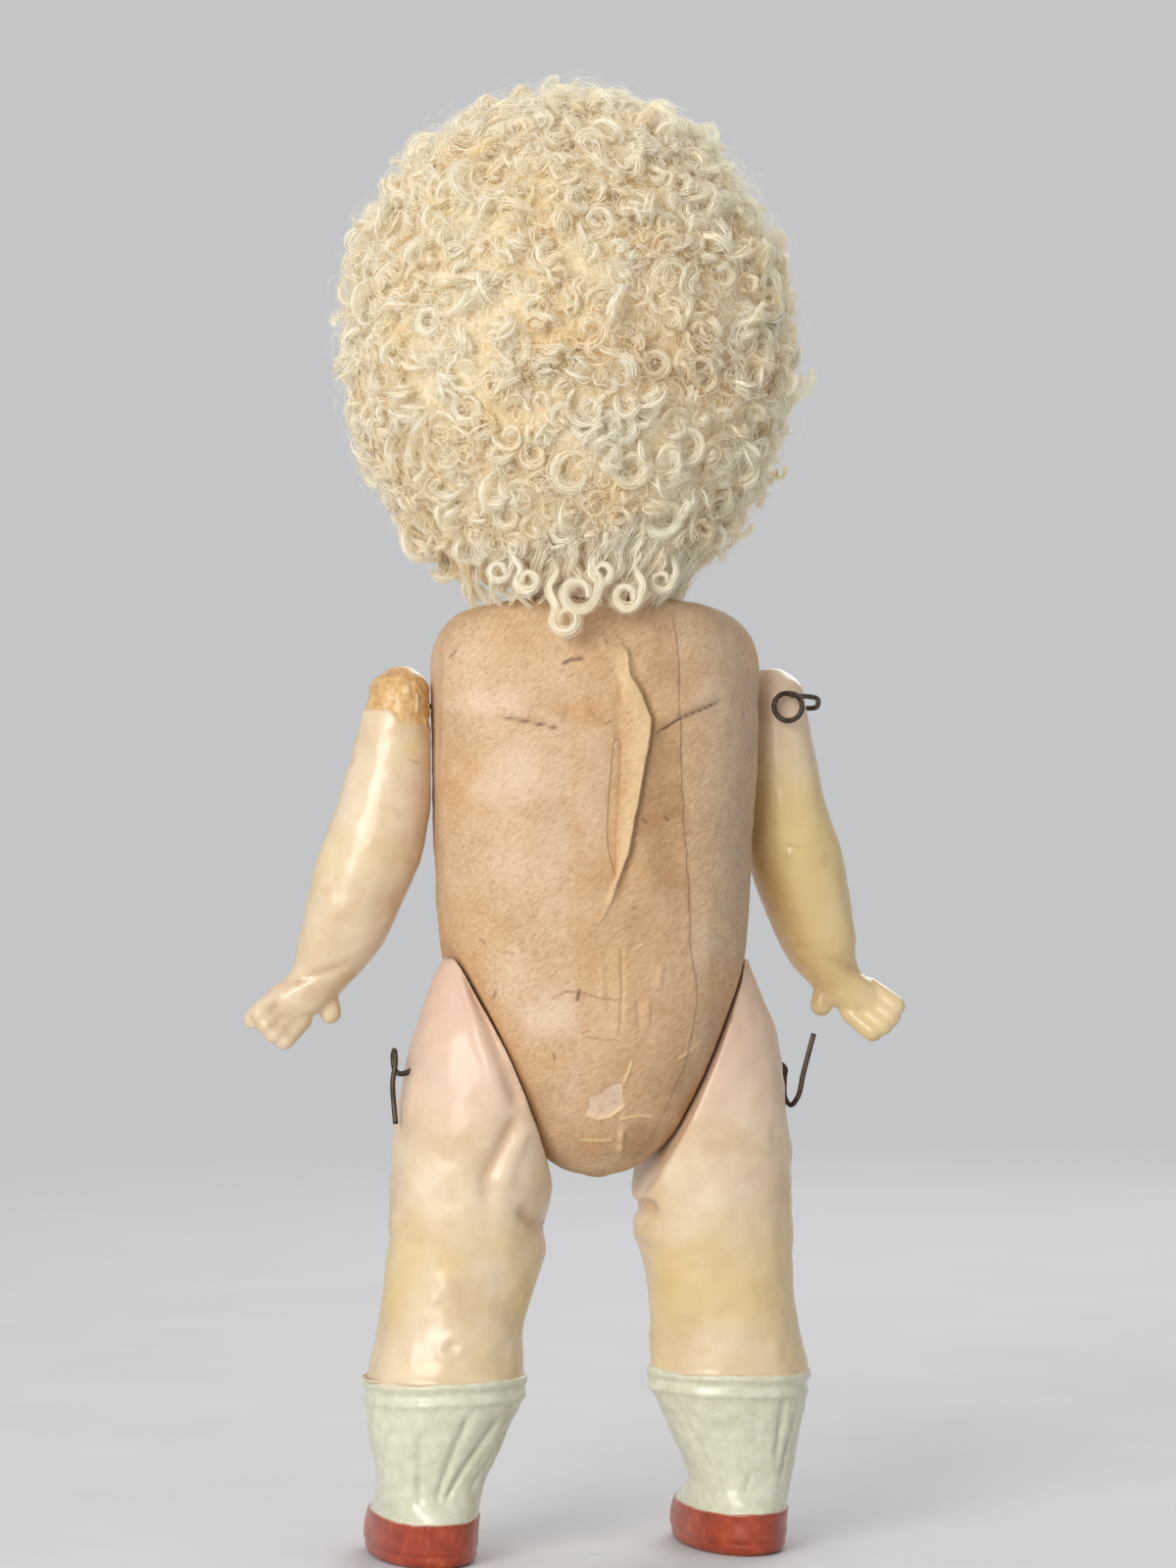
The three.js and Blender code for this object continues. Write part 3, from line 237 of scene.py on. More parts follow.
def helper(name, points, quads, tris=()):
    """An object in plain millimetres that a piece is worked out from."""
    made = bpy.data.objects.new(name, mesh_of(name, points / MM - OFFSET, quads, tris))
    bpy.context.scene.collection.objects.link(made)
    return made


def worked_out(made):
    """A helper's points and faces, with its modifiers applied."""
    bpy.context.view_layer.update()
    result = made.evaluated_get(bpy.context.evaluated_depsgraph_get()).to_mesh()
    found = np.zeros(len(result.vertices) * 3, np.float32)
    result.vertices.foreach_get("co", found)
    return found.reshape(-1, 3).astype(float), [list(face.vertices) for face in result.polygons]


def smoothed_union(name, shells, voxel, passes):
    """One skin over overlapping shells."""
    made = helper(name, *joined(shells))
    remesh = made.modifiers.new("skin", "REMESH")
    remesh.mode = "VOXEL"
    remesh.voxel_size = voxel
    soften = made.modifiers.new("soften", "SMOOTH")
    soften.factor = 0.5
    soften.iterations = passes
    points, faces = worked_out(made)
    bpy.data.objects.remove(made)
    return points, [face for face in faces if len(face) == 4], [face for face in faces if len(face) == 3]


# Material helpers

def rgb(*levels):
    """A colour from red, green and blue of 0 to 255."""
    shares = [level / 255 for level in levels]
    return (*(c / 12.92 if c <= 0.04045 else ((c + 0.055) / 1.055) ** 2.4 for c in shares), 1.0)


class Nodes:
    """A node tree that is built by short calls."""

    def __init__(self, tree):
        self.tree = tree

    def give(self, node, inputs):
        for key, value in inputs.items():
            if isinstance(value, bpy.types.NodeSocket):
                self.tree.links.new(value, node.inputs[key])
            else:
                node.inputs[key].default_value = value

    def add(self, kind, inputs=None, **settings):
        node = self.tree.nodes.new(kind)
        for key, value in settings.items():
            setattr(node, key, value)
        self.give(node, inputs or {})
        return node

    def math(self, operation, a, b):
        return self.add("ShaderNodeMath", {0: a, 1: b}, operation=operation).outputs[0]

    def show(self, share, first, second, output="Material Output"):
        """Send a mix of two shaders to the output."""
        mixed = self.add("ShaderNodeMixShader", {0: share, 1: first.outputs[0], 2: second.outputs[0]})
        self.tree.links.new(mixed.outputs[0], self.tree.nodes[output].inputs["Surface"])


class Finish(Nodes):
    """A material made of nodes round one Principled shader."""

    def __init__(self, name, **settings):
        self.material = bpy.data.materials.new(name)
        self.material.use_nodes = True
        super().__init__(self.material.node_tree)
        self.shader = self.tree.nodes["Principled BSDF"]
        self.wear(**settings)
        self.places = self.add("ShaderNodeTexCoord").outputs["Object"]

    def wear(self, **sockets):
        self.give(self.shader, {key.replace("_", " "): value for key, value in sockets.items()})
        return self.material

    def value(self, name):
        return self.add("ShaderNodeAttribute", attribute_name=name).outputs["Fac"]

    def noise(self, size, detail=3.0, rough=0.55, stretch=(1, 1, 1), warp=0.0, slant=0.0):
        """Cloudy values; they are drawn out where stretch is under 1, and slant turns them about y."""
        turn = (0, math.radians(slant), 0)
        scale = tuple(1 / share for share in stretch)
        inputs = {"Vector": self.places, "Rotation": turn, "Scale": scale}
        places = self.add("ShaderNodeMapping", inputs, vector_type="TEXTURE").outputs[0]
        inputs = {"Vector": places, "Scale": 1 / (size * MM), "Detail": detail, "Roughness": rough}
        return self.add("ShaderNodeTexNoise", {**inputs, "Distortion": warp}).outputs["Fac"]

    def cells(self, size, stretch):
        places = self.add("ShaderNodeMapping", {"Vector": self.places, "Scale": stretch}).outputs[0]
        inputs = {"Vector": places, "Scale": 1 / (size * MM)}
        return self.add("ShaderNodeTexVoronoi", inputs).outputs["Distance"]

    def span(self, value, low, high, start=0.0, end=1.0):
        inputs = {"Value": value, "From Min": low, "From Max": high, "To Min": start, "To Max": end}
        return self.add("ShaderNodeMapRange", inputs).outputs[0]

    def ramp(self, value, *stops):
        """Colours by a value; a stop is a place, then red, green and blue of 0 to 255."""
        node = self.add("ShaderNodeValToRGB", {"Fac": value})
        elements = node.color_ramp.elements
        while len(elements) < len(stops):
            elements.new(0.5)
        for element, (place, *levels) in zip(elements, stops):
            element.position = place
            element.color = rgb(*levels)
        return node.outputs["Color"]

    def coats(self, tone, *coats):
        """Colours laid over a tone one by one, each by its share."""
        for share, colour in coats:
            node = self.add("ShaderNodeMix", data_type="RGBA")
            self.give(node, {0: share, 6: tone, 7: colour})
            tone = node.outputs[2]
        return tone

    def bump(self, height, depth, strength, under=None):
        inputs = {"Height": height, "Distance": depth * MM, "Strength": strength}
        if under is not None:
            inputs["Normal"] = under
        return self.add("ShaderNodeBump", inputs).outputs[0]


def grained(name, low, high, noise, bump, **settings):
    """A material that one noise shades between two colours and roughens."""
    finish = Finish(name, **settings)
    grain = finish.noise(*noise)
    tone = finish.ramp(grain, (0.3, *low), (0.7, *high))
    return finish.wear(Base_Color=tone, Normal=finish.bump(grain, *bump))


# Camera, light and floor

VIEW_ANGLE = math.radians(165)
VIEW_DISTANCE = 600.0
VIEW_HEIGHT = 94.3
VIEW_ASIDE = -0.48
LAMP_AIM = np.array([0, 0, 95.0])
BACKDROP = rgb(196, 197, 199)
FLOOR_WIDTHS = (2.0, 2400.0, 6000.0)
toward = np.array([math.sin(VIEW_ANGLE), -math.cos(VIEW_ANGLE), 0])
rightward = np.array([math.cos(VIEW_ANGLE), math.sin(VIEW_ANGLE), 0])
scene = bpy.context.scene
scene.view_settings.view_transform = "Standard"
camera_data = bpy.data.cameras.new("camera")
camera_data.lens = 112.5
camera_data.sensor_width = 36.0
camera_data.clip_start = 0.01
camera = bpy.data.objects.new("camera", camera_data)
camera.location = (toward * VIEW_DISTANCE + rightward * VIEW_ASIDE + [0, 0, VIEW_HEIGHT]) * MM
camera.rotation_euler = (math.radians(90), 0, VIEW_ANGLE)
scene.collection.objects.link(camera)
scene.camera = camera


def lamp(name, right, near, up, size, power, colour):
    """A soft lamp placed as the camera sees it, aimed at the doll's middle."""
    data = bpy.data.lights.new(name, "AREA")
    data.shape = "DISK"
    data.size = size * MM
    data.energy = power
    data.color = colour
    made = bpy.data.objects.new(name, data)
    made.location = (rightward * right + toward * near + [0, 0, up]) * MM
    aim = Vector(LAMP_AIM * MM) - made.location
    made.rotation_euler = aim.to_track_quat("-Z", "Y").to_euler()
    scene.collection.objects.link(made)


lamp("key", -340, 660, 290, 460, 4.75, (1.0, 0.975, 0.94))
lamp("fill", 620, 420, 200, 600, 0.35, (0.97, 0.98, 1.0))
lamp("front", 200, -650, 480, 520, 2.6, (1.0, 0.98, 0.95))
lamp("top", -60, -60, 820, 500, 0.7, (1.0, 0.99, 0.97))


def studio():
    """An even sky that lights the doll, and shows as the backdrop to the camera and in reflections."""
    scene.world = bpy.data.worlds.new("studio")
    scene.world.use_nodes = True
    sky = Nodes(scene.world.node_tree)
    rays = sky.add("ShaderNodeLightPath").outputs
    seen = sky.math("MAXIMUM", rays["Is Camera Ray"], rays["Is Glossy Ray"])
    seen = sky.math("MAXIMUM", seen, rays["Is Transmission Ray"])
    ambient = sky.tree.nodes["Background"]
    sky.give(ambient, {"Color": (0.93, 0.95, 1.0, 1), "Strength": 0.46})
    sky.show(seen, ambient, sky.add("ShaderNodeBackground", {"Color": BACKDROP}), "World Output")


def floor():
    """Pale paper that fades into the backdrop with distance."""
    finish = Finish("floor_paper", Roughness=0.9)
    tone = finish.ramp(finish.noise(40, 2), (0.3, 206, 206, 207), (0.7, 211, 211, 212))
    away = finish.add("ShaderNodeVectorMath", {0: finish.places}, operation="LENGTH").outputs["Value"]
    rays = finish.add("ShaderNodeLightPath").outputs
    seen = finish.math("MAXIMUM", rays["Is Camera Ray"], rays["Is Glossy Ray"])
    far = finish.math("MULTIPLY", seen, finish.span(away, 0.12, 0.7))
    finish.show(far, finish.shader, finish.add("ShaderNodeEmission", {"Color": BACKDROP}))
    rings = oval(np.array([[0, 0, 0, width, width] for width in FLOOR_WIDTHS]), 96, 2)
    mesh = mesh_of("floor", rings.reshape(-1, 3) - OFFSET, loft(rings)[1])
    mesh.materials.append(finish.wear(Base_Color=tone))
    made = bpy.data.objects.new("floor", mesh)
    scene.collection.objects.link(made)


studio()
floor()


# Materials of the body

def card_material():
    finish = Finish("pressed_card", Roughness=0.82, Specular_IOR_Level=0.3)
    pulp = finish.noise(0.5, 5, 0.7, (0.5, 1.0, 1.3), 0.8, 40)
    hairs = finish.noise(0.21, 2, 0.5, (0.22, 0.6, 1.0), 0.7, 36)
    cloud = finish.noise(7, 4, 0.6)
    tone = finish.ramp(cloud, (0.3, 182, 144, 104), (0.5, 200, 166, 128), (0.72, 216, 188, 156))
    # Besides stains and fibres, tan paints the shadow beside the back strip's fold, cream the highlights on
    # its ridges and fold, warm the shade at the hip rims, and line the shade in the blade creases.
    tone = finish.coats(
        tone,
        (0.5, finish.ramp(pulp, (0.32, 170, 132, 92), (0.62, 220, 192, 158))),
        (finish.value("warm"), rgb(194, 142, 90)),
        (finish.value("tan"), rgb(154, 114, 70)),
        (finish.value("grey"), rgb(170, 154, 136)),
        (finish.value("pale"), rgb(222, 196, 170)),
        (finish.value("cream"), rgb(226, 196, 148)),
        (finish.span(hairs, 0.58, 0.72, 0.0, 0.34), rgb(134, 96, 62)),
        (finish.span(hairs, 0.42, 0.3, 0.0, 0.22), rgb(246, 222, 190)),
        (finish.value("line"), rgb(86, 58, 38)),
    )
    dents = finish.bump(finish.noise(2.2, 4), 0.18, 0.3, finish.bump(pulp, 0.08, 0.5))
    return finish.wear(Base_Color=tone, Normal=dents)


def skin_material():
    finish = Finish("painted_composition", Specular_IOR_Level=0.4, Coat_Weight=0.3, Coat_Roughness=0.16)
    cloud = finish.noise(7, 4, 0.6)
    fine = finish.noise(1.4, 5, 0.65)
    scuffs = finish.noise(2.4, 5, 0.7)
    bare = finish.ramp(fine, (0.35, 188, 144, 86), (0.65, 222, 186, 130))
    sock = finish.ramp(fine, (0.3, 198, 197, 170), (0.7, 219, 218, 198))
    shoe = finish.ramp(scuffs, (0.3, 130, 48, 26), (0.55, 162, 64, 36), (0.75, 186, 92, 60))
    tone = finish.ramp(cloud, (0.32, 206, 180, 142), (0.5, 218, 197, 164), (0.7, 227, 209, 181))
    # Besides marks and scratches, the line coat paints the shade in the limbs' creases and grooves and on the
    # flat tops of the legs.
    tone = finish.coats(
        tone,
        (finish.span(fine, 0.5, 0.8, 0.0, 0.3), rgb(212, 180, 138)),
        (finish.value("pink"), rgb(217, 184, 162)),
        (finish.value("yellow"), rgb(214, 188, 132)),
        (finish.value("bare"), bare),
        (finish.value("line"), rgb(176, 128, 88)),
        (finish.value("sock"), sock),
        (finish.value("shoe"), shoe),
    )
    gloss = finish.span(finish.noise(3.0, 4), 0.35, 0.7, 0.28, 0.46)
    matt = finish.math("MAXIMUM", gloss, finish.value("matt"))
    return finish.wear(Base_Color=tone, Roughness=matt, Normal=finish.bump(fine, 0.10, 0.35))


def wire_material():
    finish = Finish("old_wire", Metallic=0.85)
    rust = finish.noise(1.1, 5, 0.7)
    tone = finish.ramp(rust, (0.35, 58, 52, 46), (0.6, 96, 84, 70), (0.75, 112, 76, 50))
    dull = finish.span(rust, 0.3, 0.7, 0.35, 0.65)
    return finish.wear(Base_Color=tone, Roughness=dull, Normal=finish.bump(rust, 0.06, 0.4))


def elastic_material():
    finish = Finish("braided_elastic", Roughness=0.9)
    braid = finish.cells(0.35, (1, 1, 0.6))
    tone = finish.ramp(braid, (0.1, 112, 104, 92), (0.6, 168, 160, 146))
    return finish.wear(Base_Color=tone, Normal=finish.bump(braid, 0.1, 0.6))


WOOD_GRAIN = (0.9, 4, 0.6, (1, 1, 0.25), 0.8)
card_finish = card_material()
skin_finish = skin_material()
wire_finish = wire_material()
elastic_finish = elastic_material()
hide_finish = grained(
    "sheepskin_hide", (184, 146, 98), (222, 192, 148), (1.2, 5, 0.65), (0.2, 0.5), Roughness=0.9
)
plaster_finish = grained("plaster", (214, 208, 194), (236, 232, 222), (0.8, 5), (0.1, 0.5), Roughness=0.92)
lead_finish = grained(
    "cast_lead", (92, 94, 98), (134, 136, 140), (0.9, 4), (0.1, 0.5), Metallic=0.9, Roughness=0.55
)
wood_finish = grained("turned_wood", (150, 106, 62), (196, 152, 100), WOOD_GRAIN, (0.06, 0.4), Roughness=0.6)

for finish, node_names in [
    (elastic_finish, ["arm_elastic", "head_leg_elastic"]),
    (card_finish, ["crown_pate"]),
    (hide_finish, ["wig_cap"]),
    (wood_finish, ["neck_button", "eye_stop"]),
    (plaster_finish, ["left_eye_pad", "right_eye_pad", "eye_bridge"]),
    (lead_finish, ["eye_weight"]),
    (wire_finish, ["neck_hook"]),
]:
    for node_name in node_names:
        solid = frame["nodes"][node_name].data
        solid.materials.clear()
        solid.materials.append(finish)
        solid.polygons.foreach_set("use_smooth", np.ones(len(solid.polygons), bool))


# Torso: two halves of pressed card under paper strips

TORSO = np.array([
    [0, 0.6, 46.4, 2.0, 2.0],
    [0, 0.6, 47.8, 10.5, 8.7],
    [0, 0.5, 52.0, 20.2, 16.8],
    [0, 0.2, 58.2, 27.2, 23.2],
    [0, -0.4, 63.8, 32.2, 27.0],
    [0, -1.0, 72.2, 36.9, 29.0],
    [0, -1.0, 82.0, 38.8, 29.0],
    [0, -0.6, 90.8, 39.7, 27.2],
    [0, 0.0, 103.8, 40.6, 25.4],
    [0, 0.0, 110.0, 40.6, 24.1],
    [0, 0.0, 114.2, 36.0, 21.6],
    [0, 0.0, 116.1, 28.0, 20.8],
    [0, 0.0, 116.8, 20.0, 18.8],
])
TORSO_POWER = 2.3
TORSO_REACH = 19.95
SEAM_HALF_GAP = 0.15
NECK_SEAT = [(9.2, 116.95), (8.5, 116.85), (8.0, 116.4), (7.15, 115.0), (5.4, 113.0), (3.0, 111.6)]
NECK_SEAT_DEPTH = 0.96
torso_curve = through(TORSO, np.linspace(0, len(TORSO) - 1, 400))
LEFT_BLADE = [(15.3, 102.5), (11.6, 101.8), (8.5, 101.1), (7.5, 100.7)]
RIGHT_BLADE = [(-3.6, 100.1), (-5.5, 101.1), (-7.3, 102.2), (-10.6, 103.4), (-14.2, 104.8)]

# Spots of the back: place, half width, half height, strength. Pale and warm ones are worn places; tan ones
# darken the card, the first three painting the shadow to the right of the strip's fold.
PALE_SPOTS = [
    (15.3, 104.4, 4.4, 1.7, 0.7),
    (12.4, 95.1, 5.2, 3.4, 0.7),
    (9.3, 66.4, 3.2, 2.8, 0.9),
    (8.1, 88.3, 3.0, 3.4, 0.5),
    (13.3, 83.7, 3.0, 3.6, 0.3),
    (3.6, 92.0, 2.4, 8.0, 0.4),
    (-10.0, 74.9, 2.0, 3.0, 0.5),
    (-11.2, 105.2, 3.0, 2.2, 0.45),
]
WARM_SPOTS = [
    (4.4, 102.8, 3.4, 2.6, 0.65),
    (18.3, 94.2, 2.4, 4.5, 0.55),
    (0.9, 105.0, 2.2, 3.4, 0.45),
    (17.6, 75.4, 3.0, 6.0, 0.4),
    (14.5, 61.5, 3.0, 5.0, 0.45),
    (2.9, 107.4, 3.0, 2.0, 0.4),
    (2.2, 50.6, 3.0, 1.8, 0.6),
]
# The first three tan spots are painted shadow to the right of the strip's fold.
TAN_SPOTS = [
    (-4.6, 97.0, 2.4, 4.4, 0.65),
    (-4.6, 90.1, 3.0, 6.0, 0.8),
    (-4.9, 83.7, 3.2, 5.0, 0.7),
    (-1.9, 77.8, 3.2, 2.6, 0.4),
    (-7.6, 58.3, 4.0, 4.0, 0.5),
    (9.5, 54.7, 4.0, 3.0, 0.35),
    (-5.2, 108.8, 2.4, 4.0, 0.35),
    (-3.4, 51.0, 2.2, 2.4, 0.55),
]
DARK_STROKES = [
    ([(14.6, 69.5), (14.8, 68.6)], 0.14, 0.6),
    ([(8.2, 61.9), (8.1, 61.3)], 0.14, 0.6),
    ([(16.4, 75.8), (15.8, 75.1)], 0.12, 0.55),
    ([(19.4, 109.6), (18.8, 110.3)], 0.12, 0.5),
    ([(-5.2, 90.3), (-5.6, 89.9)], 0.14, 0.7),
    ([(-2.3, 90.1), (-2.9, 89.6)], 0.13, 0.6),
    ([(7.0, 108.8), (6.2, 109.2), (5.0, 109.3)], 0.26, 0.75),
    ([(5.5, 69.5), (5.7, 68.5)], 0.2, 0.85),
    ([(8.7, 68.5), (7.2, 69.4), (5.5, 69.5), (3.2, 68.7), (0.8, 68.4)], 0.08, 0.55),
    ([(4.5, 64.0), (2.6, 63.7), (0.8, 63.6)], 0.08, 0.4),
    ([(16.9, 73.9), (14.4, 74.0), (11.6, 74.4)], 0.08, 0.3),
    ([(4.0, 103.2), (3.4, 102.1), (2.1, 101.5), (1.4, 101.8)], 0.12, 0.3),
]
# Cream strokes, each a line and its half width: pale fibres, and painted highlights along raised ridges of
# the strip
CREAM_STROKES = [
    ([(-7.3, 61.2), (-10.4, 63.2)], 0.13),
    ([(-0.4, 58.6), (-0.9, 60.1), (-1.1, 60.9)], 0.15),
    ([(-0.5, 54.0), (-2.6, 54.3), (-4.4, 54.2)], 0.14),
    ([(3.9, 51.3), (0.2, 51.3)], 0.14),
    ([(-1.0, 74.4), (-2.2, 75.1)], 0.12),
    ([(3.7, 54.6), (2.3, 54.0), (0.8, 54.4), (-0.5, 55.4)], 0.22),
]


def torso_face(x, z, facing):
    """The torso's outside at a place seen from straight behind (facing 1) or in front (-1)."""
    middle, width, depth = (np.interp(z, torso_curve[:, 2], torso_curve[:, i]) for i in (1, 3, 4))
    bulge = np.clip(1 - np.abs(2 * x / width) ** TORSO_POWER, 0, 1) ** (1 / TORSO_POWER)
    return middle + facing * depth * bulge / 2


def blade_folds(x, z):
    """Height of the two creases under the shoulder blades, and the painted shade along their grooves."""
    height = np.zeros(np.shape(x))
    dark = np.zeros(np.shape(x))
    for line in (LEFT_BLADE, RIGHT_BLADE):
        away, along = line_distance(x, z, line)
        above = np.sign(z - np.interp(x, *zip(*sorted(line))))
        fade = ease(0, 0.25, along) * ease(1, 0.8, along)
        soft = ease(-0.1, 0.3, along) * ease(1.1, 0.7, along)
        height += 0.4 * soft * hump(away * above, 1.3, 1.1) - 0.2 * soft * hump(away * above, -1.0, 0.9)
        height -= 0.3 * fade * hump(away, 0, 0.2)
        # painted shade down the groove of each crease
        dark = np.maximum(dark, 0.8 * fade * hump(away, 0, 0.15))
    return height, dark


def spots(points, places, seed):
    """How strongly spots with ragged edges colour the points of the back."""
    x, z = points[..., 0], points[..., 2]
    ragged = 0.4 * lumps(points, 2.4, 3, seed)
    found = np.zeros(np.shape(x))
    for middle_x, middle_z, wide, tall, strength in places:
        away = np.hypot((x - middle_x) / wide, (z - middle_z) / tall) + ragged
        found = np.maximum(found, 0.8 * strength * ease(1.45, 0.2, away))
    return found


def back_colours(points):
    """Values for the card material at points of the back."""
    x, z = points[..., 0], points[..., 2]
    # line starts as the painted shade in the blade creases, then takes the dark strokes
    line = blade_folds(x, z)[1]
    for stroke, spread, strength in DARK_STROKES:
        line = np.maximum(line, strength * hump(line_distance(x, z, stroke)[0], 0, spread))
    # cream: pale fibres, and painted highlights on the raised ridges of the strip
    cream = np.zeros(np.shape(x))
    for stroke, spread in CREAM_STROKES:
        cream = np.maximum(cream, hump(line_distance(x, z, stroke)[0], 0, spread))
    return {
        "line": line,
        "cream": cream,
        "pale": spots(points, PALE_SPOTS, 21),
        "warm": np.maximum(spots(points, WARM_SPOTS, 23), 0.3 * ease(0.1, 0.9, lumps(points, 14, 2, 9))),
        "tan": spots(points, TAN_SPOTS, 25),
        "grey": 0.5 * ease(-8, -14, x) * ease(-0.7, 0.5, lumps(points, 5, 2, 27)),
    }


# How far the edges of a half turn in at the midline, and those of a paper strip into the card
TUCK = 1.2
STRIP_TUCK = 0.5


def card_relief(points):
    """Low lumps of the pressed card."""
    return 0.16 * lumps(points, 8, 2, 3) + 0.06 * lumps(points, 1.6, 2, 5)


def torso_half(side):
    """One half of the card, modelled as the left one with the marks of its own side."""
    rows = 400
    angle = np.concatenate([np.linspace(-math.pi / 2, 0, 56)[:-1], np.linspace(0, math.pi / 2, 170)])
    columns = len(angle)
    sections = through(TORSO, np.linspace(0, len(TORSO) - 1, rows))
    across = np.abs(np.cos(angle)) ** (2 / TORSO_POWER)
    along = np.sign(np.sin(angle)) * np.abs(np.sin(angle)) ** (2 / TORSO_POWER)
    x = sections[:, 3:4] / 2 * across
    y = sections[:, 1:2] + sections[:, 4:5] / 2 * along
    z = np.repeat(sections[:, 2:3], columns, 1)
    skin = np.stack([x, y, z], -1)
    for radius, height in NECK_SEAT:
        ring = [radius * np.cos(angle), radius * NECK_SEAT_DEPTH * np.sin(angle), np.full(columns, height)]
        skin = np.concatenate([skin, np.stack(ring, -1)[None]])
    normal = unit(np.cross(np.gradient(skin, axis=1), np.gradient(skin, axis=0)))
    seen = skin * [side, 1, 1]
    behind = ease(0, 2, skin[..., 1])
    folds = blade_folds(seen[..., 0], seen[..., 2])[0]
    on_card = ease(116.6, 114, skin[..., 2])
    relief = card_relief(seen) + behind * folds
    relief -= 0.35 * hump(skin[..., 0], 0, 0.5) * ease(50, 56, skin[..., 2])
    skin = skin + normal * (relief * on_card)[..., None]
    beyond = (skin - HIP) @ HIP_NORMAL + HIP_GAP
    rim = ease(-1.6, 0.0, beyond) * ease(1.2, 0, beyond)
    skin = skin - np.maximum(0, beyond)[..., None] * HIP_NORMAL
    midline = SEAM_HALF_GAP * ease(50, 54, skin[..., 2])
    skin[..., 0] = np.clip(skin[..., 0], midline, TORSO_REACH)
    tucked = skin[:, [0, -1]] + np.array([[0, TUCK, 0], [0, -TUCK, 0]])
    skin = np.concatenate([tucked[:, :1], skin, tucked[:, 1:]], 1)
    colours = {key: value * behind for key, value in back_colours(seen).items()}
    clouds = 0.35 * ease(0.15, 0.8, lumps(seen, 11, 2, 29))
    # warm also paints the shade along the rim where the card meets the leg
    colours["warm"] = np.maximum(colours["warm"], 0.5 * rim)
    colours["pale"] = np.maximum(colours["pale"], clouds * (1 - behind))
    colours = {key: np.pad(value, ((0, 0), (1, 1))).ravel() for key, value in colours.items()}
    faces = grid_faces(*skin.shape[:2])
    name = f"torso_{NAMES[side]}_card"
    mesh = mesh_of(name, (skin * [side, 1, 1]).reshape(-1, 3), faces[:, ::side])
    piece(name, mesh, "torso", card_finish, "card", (f"torso_{NAMES[side]}_half",), **colours)


for side in NAMES:
    torso_half(side)

STRIP_HEIGHTS = [49.5, 52, 60, 65, 69.4, 74.5, 83.6, 92.8, 102, 115.5]
STRIP_LEFT = [2.6, 3.9, 4.9, 5.4, 5.7, 6.0, 6.4, 6.5, 6.6, 6.4]
STRIP_RIGHT = [-3.6, -5.2, -8.2, -9.3, -9.6, -8.7, -8.3, -7.7, -7.4, -7.2]

# The loose fold in the strip: height, its sharp right edge, its foot, how far it stands off
FOLD = np.array([
    (77.2, 3.6, 3.9, 0.0),
    (78.6, 2.7, 3.3, 0.2),
    (80.5, 1.7, 2.5, 0.4),
    (83.4, 0.8, 1.2, 0.65),
    (85.8, -0.1, 1.15, 0.85),
    (88.1, -0.7, 1.1, 0.95),
    (92.7, -1.6, 0.65, 1.1),
    (96.5, -2.2, 0.45, 1.2),
    (98.9, -2.7, 0.25, 1.2),
    (102.2, -3.1, 0.5, 1.05),
    (104.9, -2.1, 1.2, 0.75),
    (107.3, -0.8, 1.3, 0.5),
    (110.2, -0.5, 1.6, 0.3),
    (112.2, 0.6, 2.2, 0.0),
])
SUNKEN_HEIGHTS = [82.6, 84.0, 86.5, 88.1, 92.7, 96.7, 100.4]
SUNKEN_EDGE = [1.2, 1.3, 1.9, 2.0, 1.8, 1.4, 1.0]
CRUMPLES = [
    ([(2.5, 112.1), (1.9, 110.6), (-0.5, 110.2), (-1.0, 108.5)], 0.34, 0.4),
    ([(1.2, 109.0), (0.2, 106.4), (0.4, 103.4)], -0.25, 0.5),
    ([(0.4, 75.0), (0.2, 70.0), (0.5, 64.2)], -0.2, 0.25),
    ([(2.9, 74.0), (2.7, 66.0)], 0.14, 0.5),
    ([(-1.7, 68.5), (-2.0, 65.0)], -0.2, 0.4),
    ([(-2.9, 68.8), (-3.0, 65.0)], 0.14, 0.3),
    ([(-4.6, 73.0), (-4.2, 69.5)], 0.16, 0.5),
    ([(-0.7, 52.6), (-1.2, 49.7)], 0.5, 0.4),
]
TORN = [
    (3.7, 55.7), (3.4, 56.8), (1.8, 57.7), (0.1, 58.2), (-0.3, 57.6), (-0.5, 55.3),
    (0.4, 54.8), (1.0, 54.4), (2.3, 54.0), (3.3, 54.3), (3.8, 54.7), (3.7, 55.7),
]


def within(x, z, outline):
    """Which points lie inside a closed outline."""
    found = np.zeros(np.shape(x), bool)
    for (ax, az), (bx, bz) in zip(outline, outline[1:]):
        found ^= ((az > z) != (bz > z)) & (x < ax + (z - az) * (bx - ax) / (bz - az + 1e-9))
    return found


def laid_on_card(x, z, facing):
    """Places on the torso's back or front, and the way straight out there."""
    on_card = np.stack([x, torso_face(x, z, facing), z], -1)
    normal = unit(np.cross(np.gradient(on_card, axis=0), np.gradient(on_card, axis=1)))
    return on_card, normal * np.sign(normal[..., 1:2]) * facing


def strip_piece(name, on_card, normal, lift, facing, **colours):
    """A paper strip that stands off the card by lift, with its side edges tucked into the card."""
    strip = on_card + normal * lift[..., None]
    strip[:, [0, -1]] = (on_card - normal * STRIP_TUCK)[:, [0, -1]]
    mesh = mesh_of(f"{name}_strip", strip.reshape(-1, 3), grid_faces(*strip.shape[:2])[:, ::facing])
    colours = {key: value.ravel() for key, value in colours.items()}
    piece(f"{name}_strip", mesh, "torso", card_finish, "paper", (f"{name}_seam_paper",), **colours)


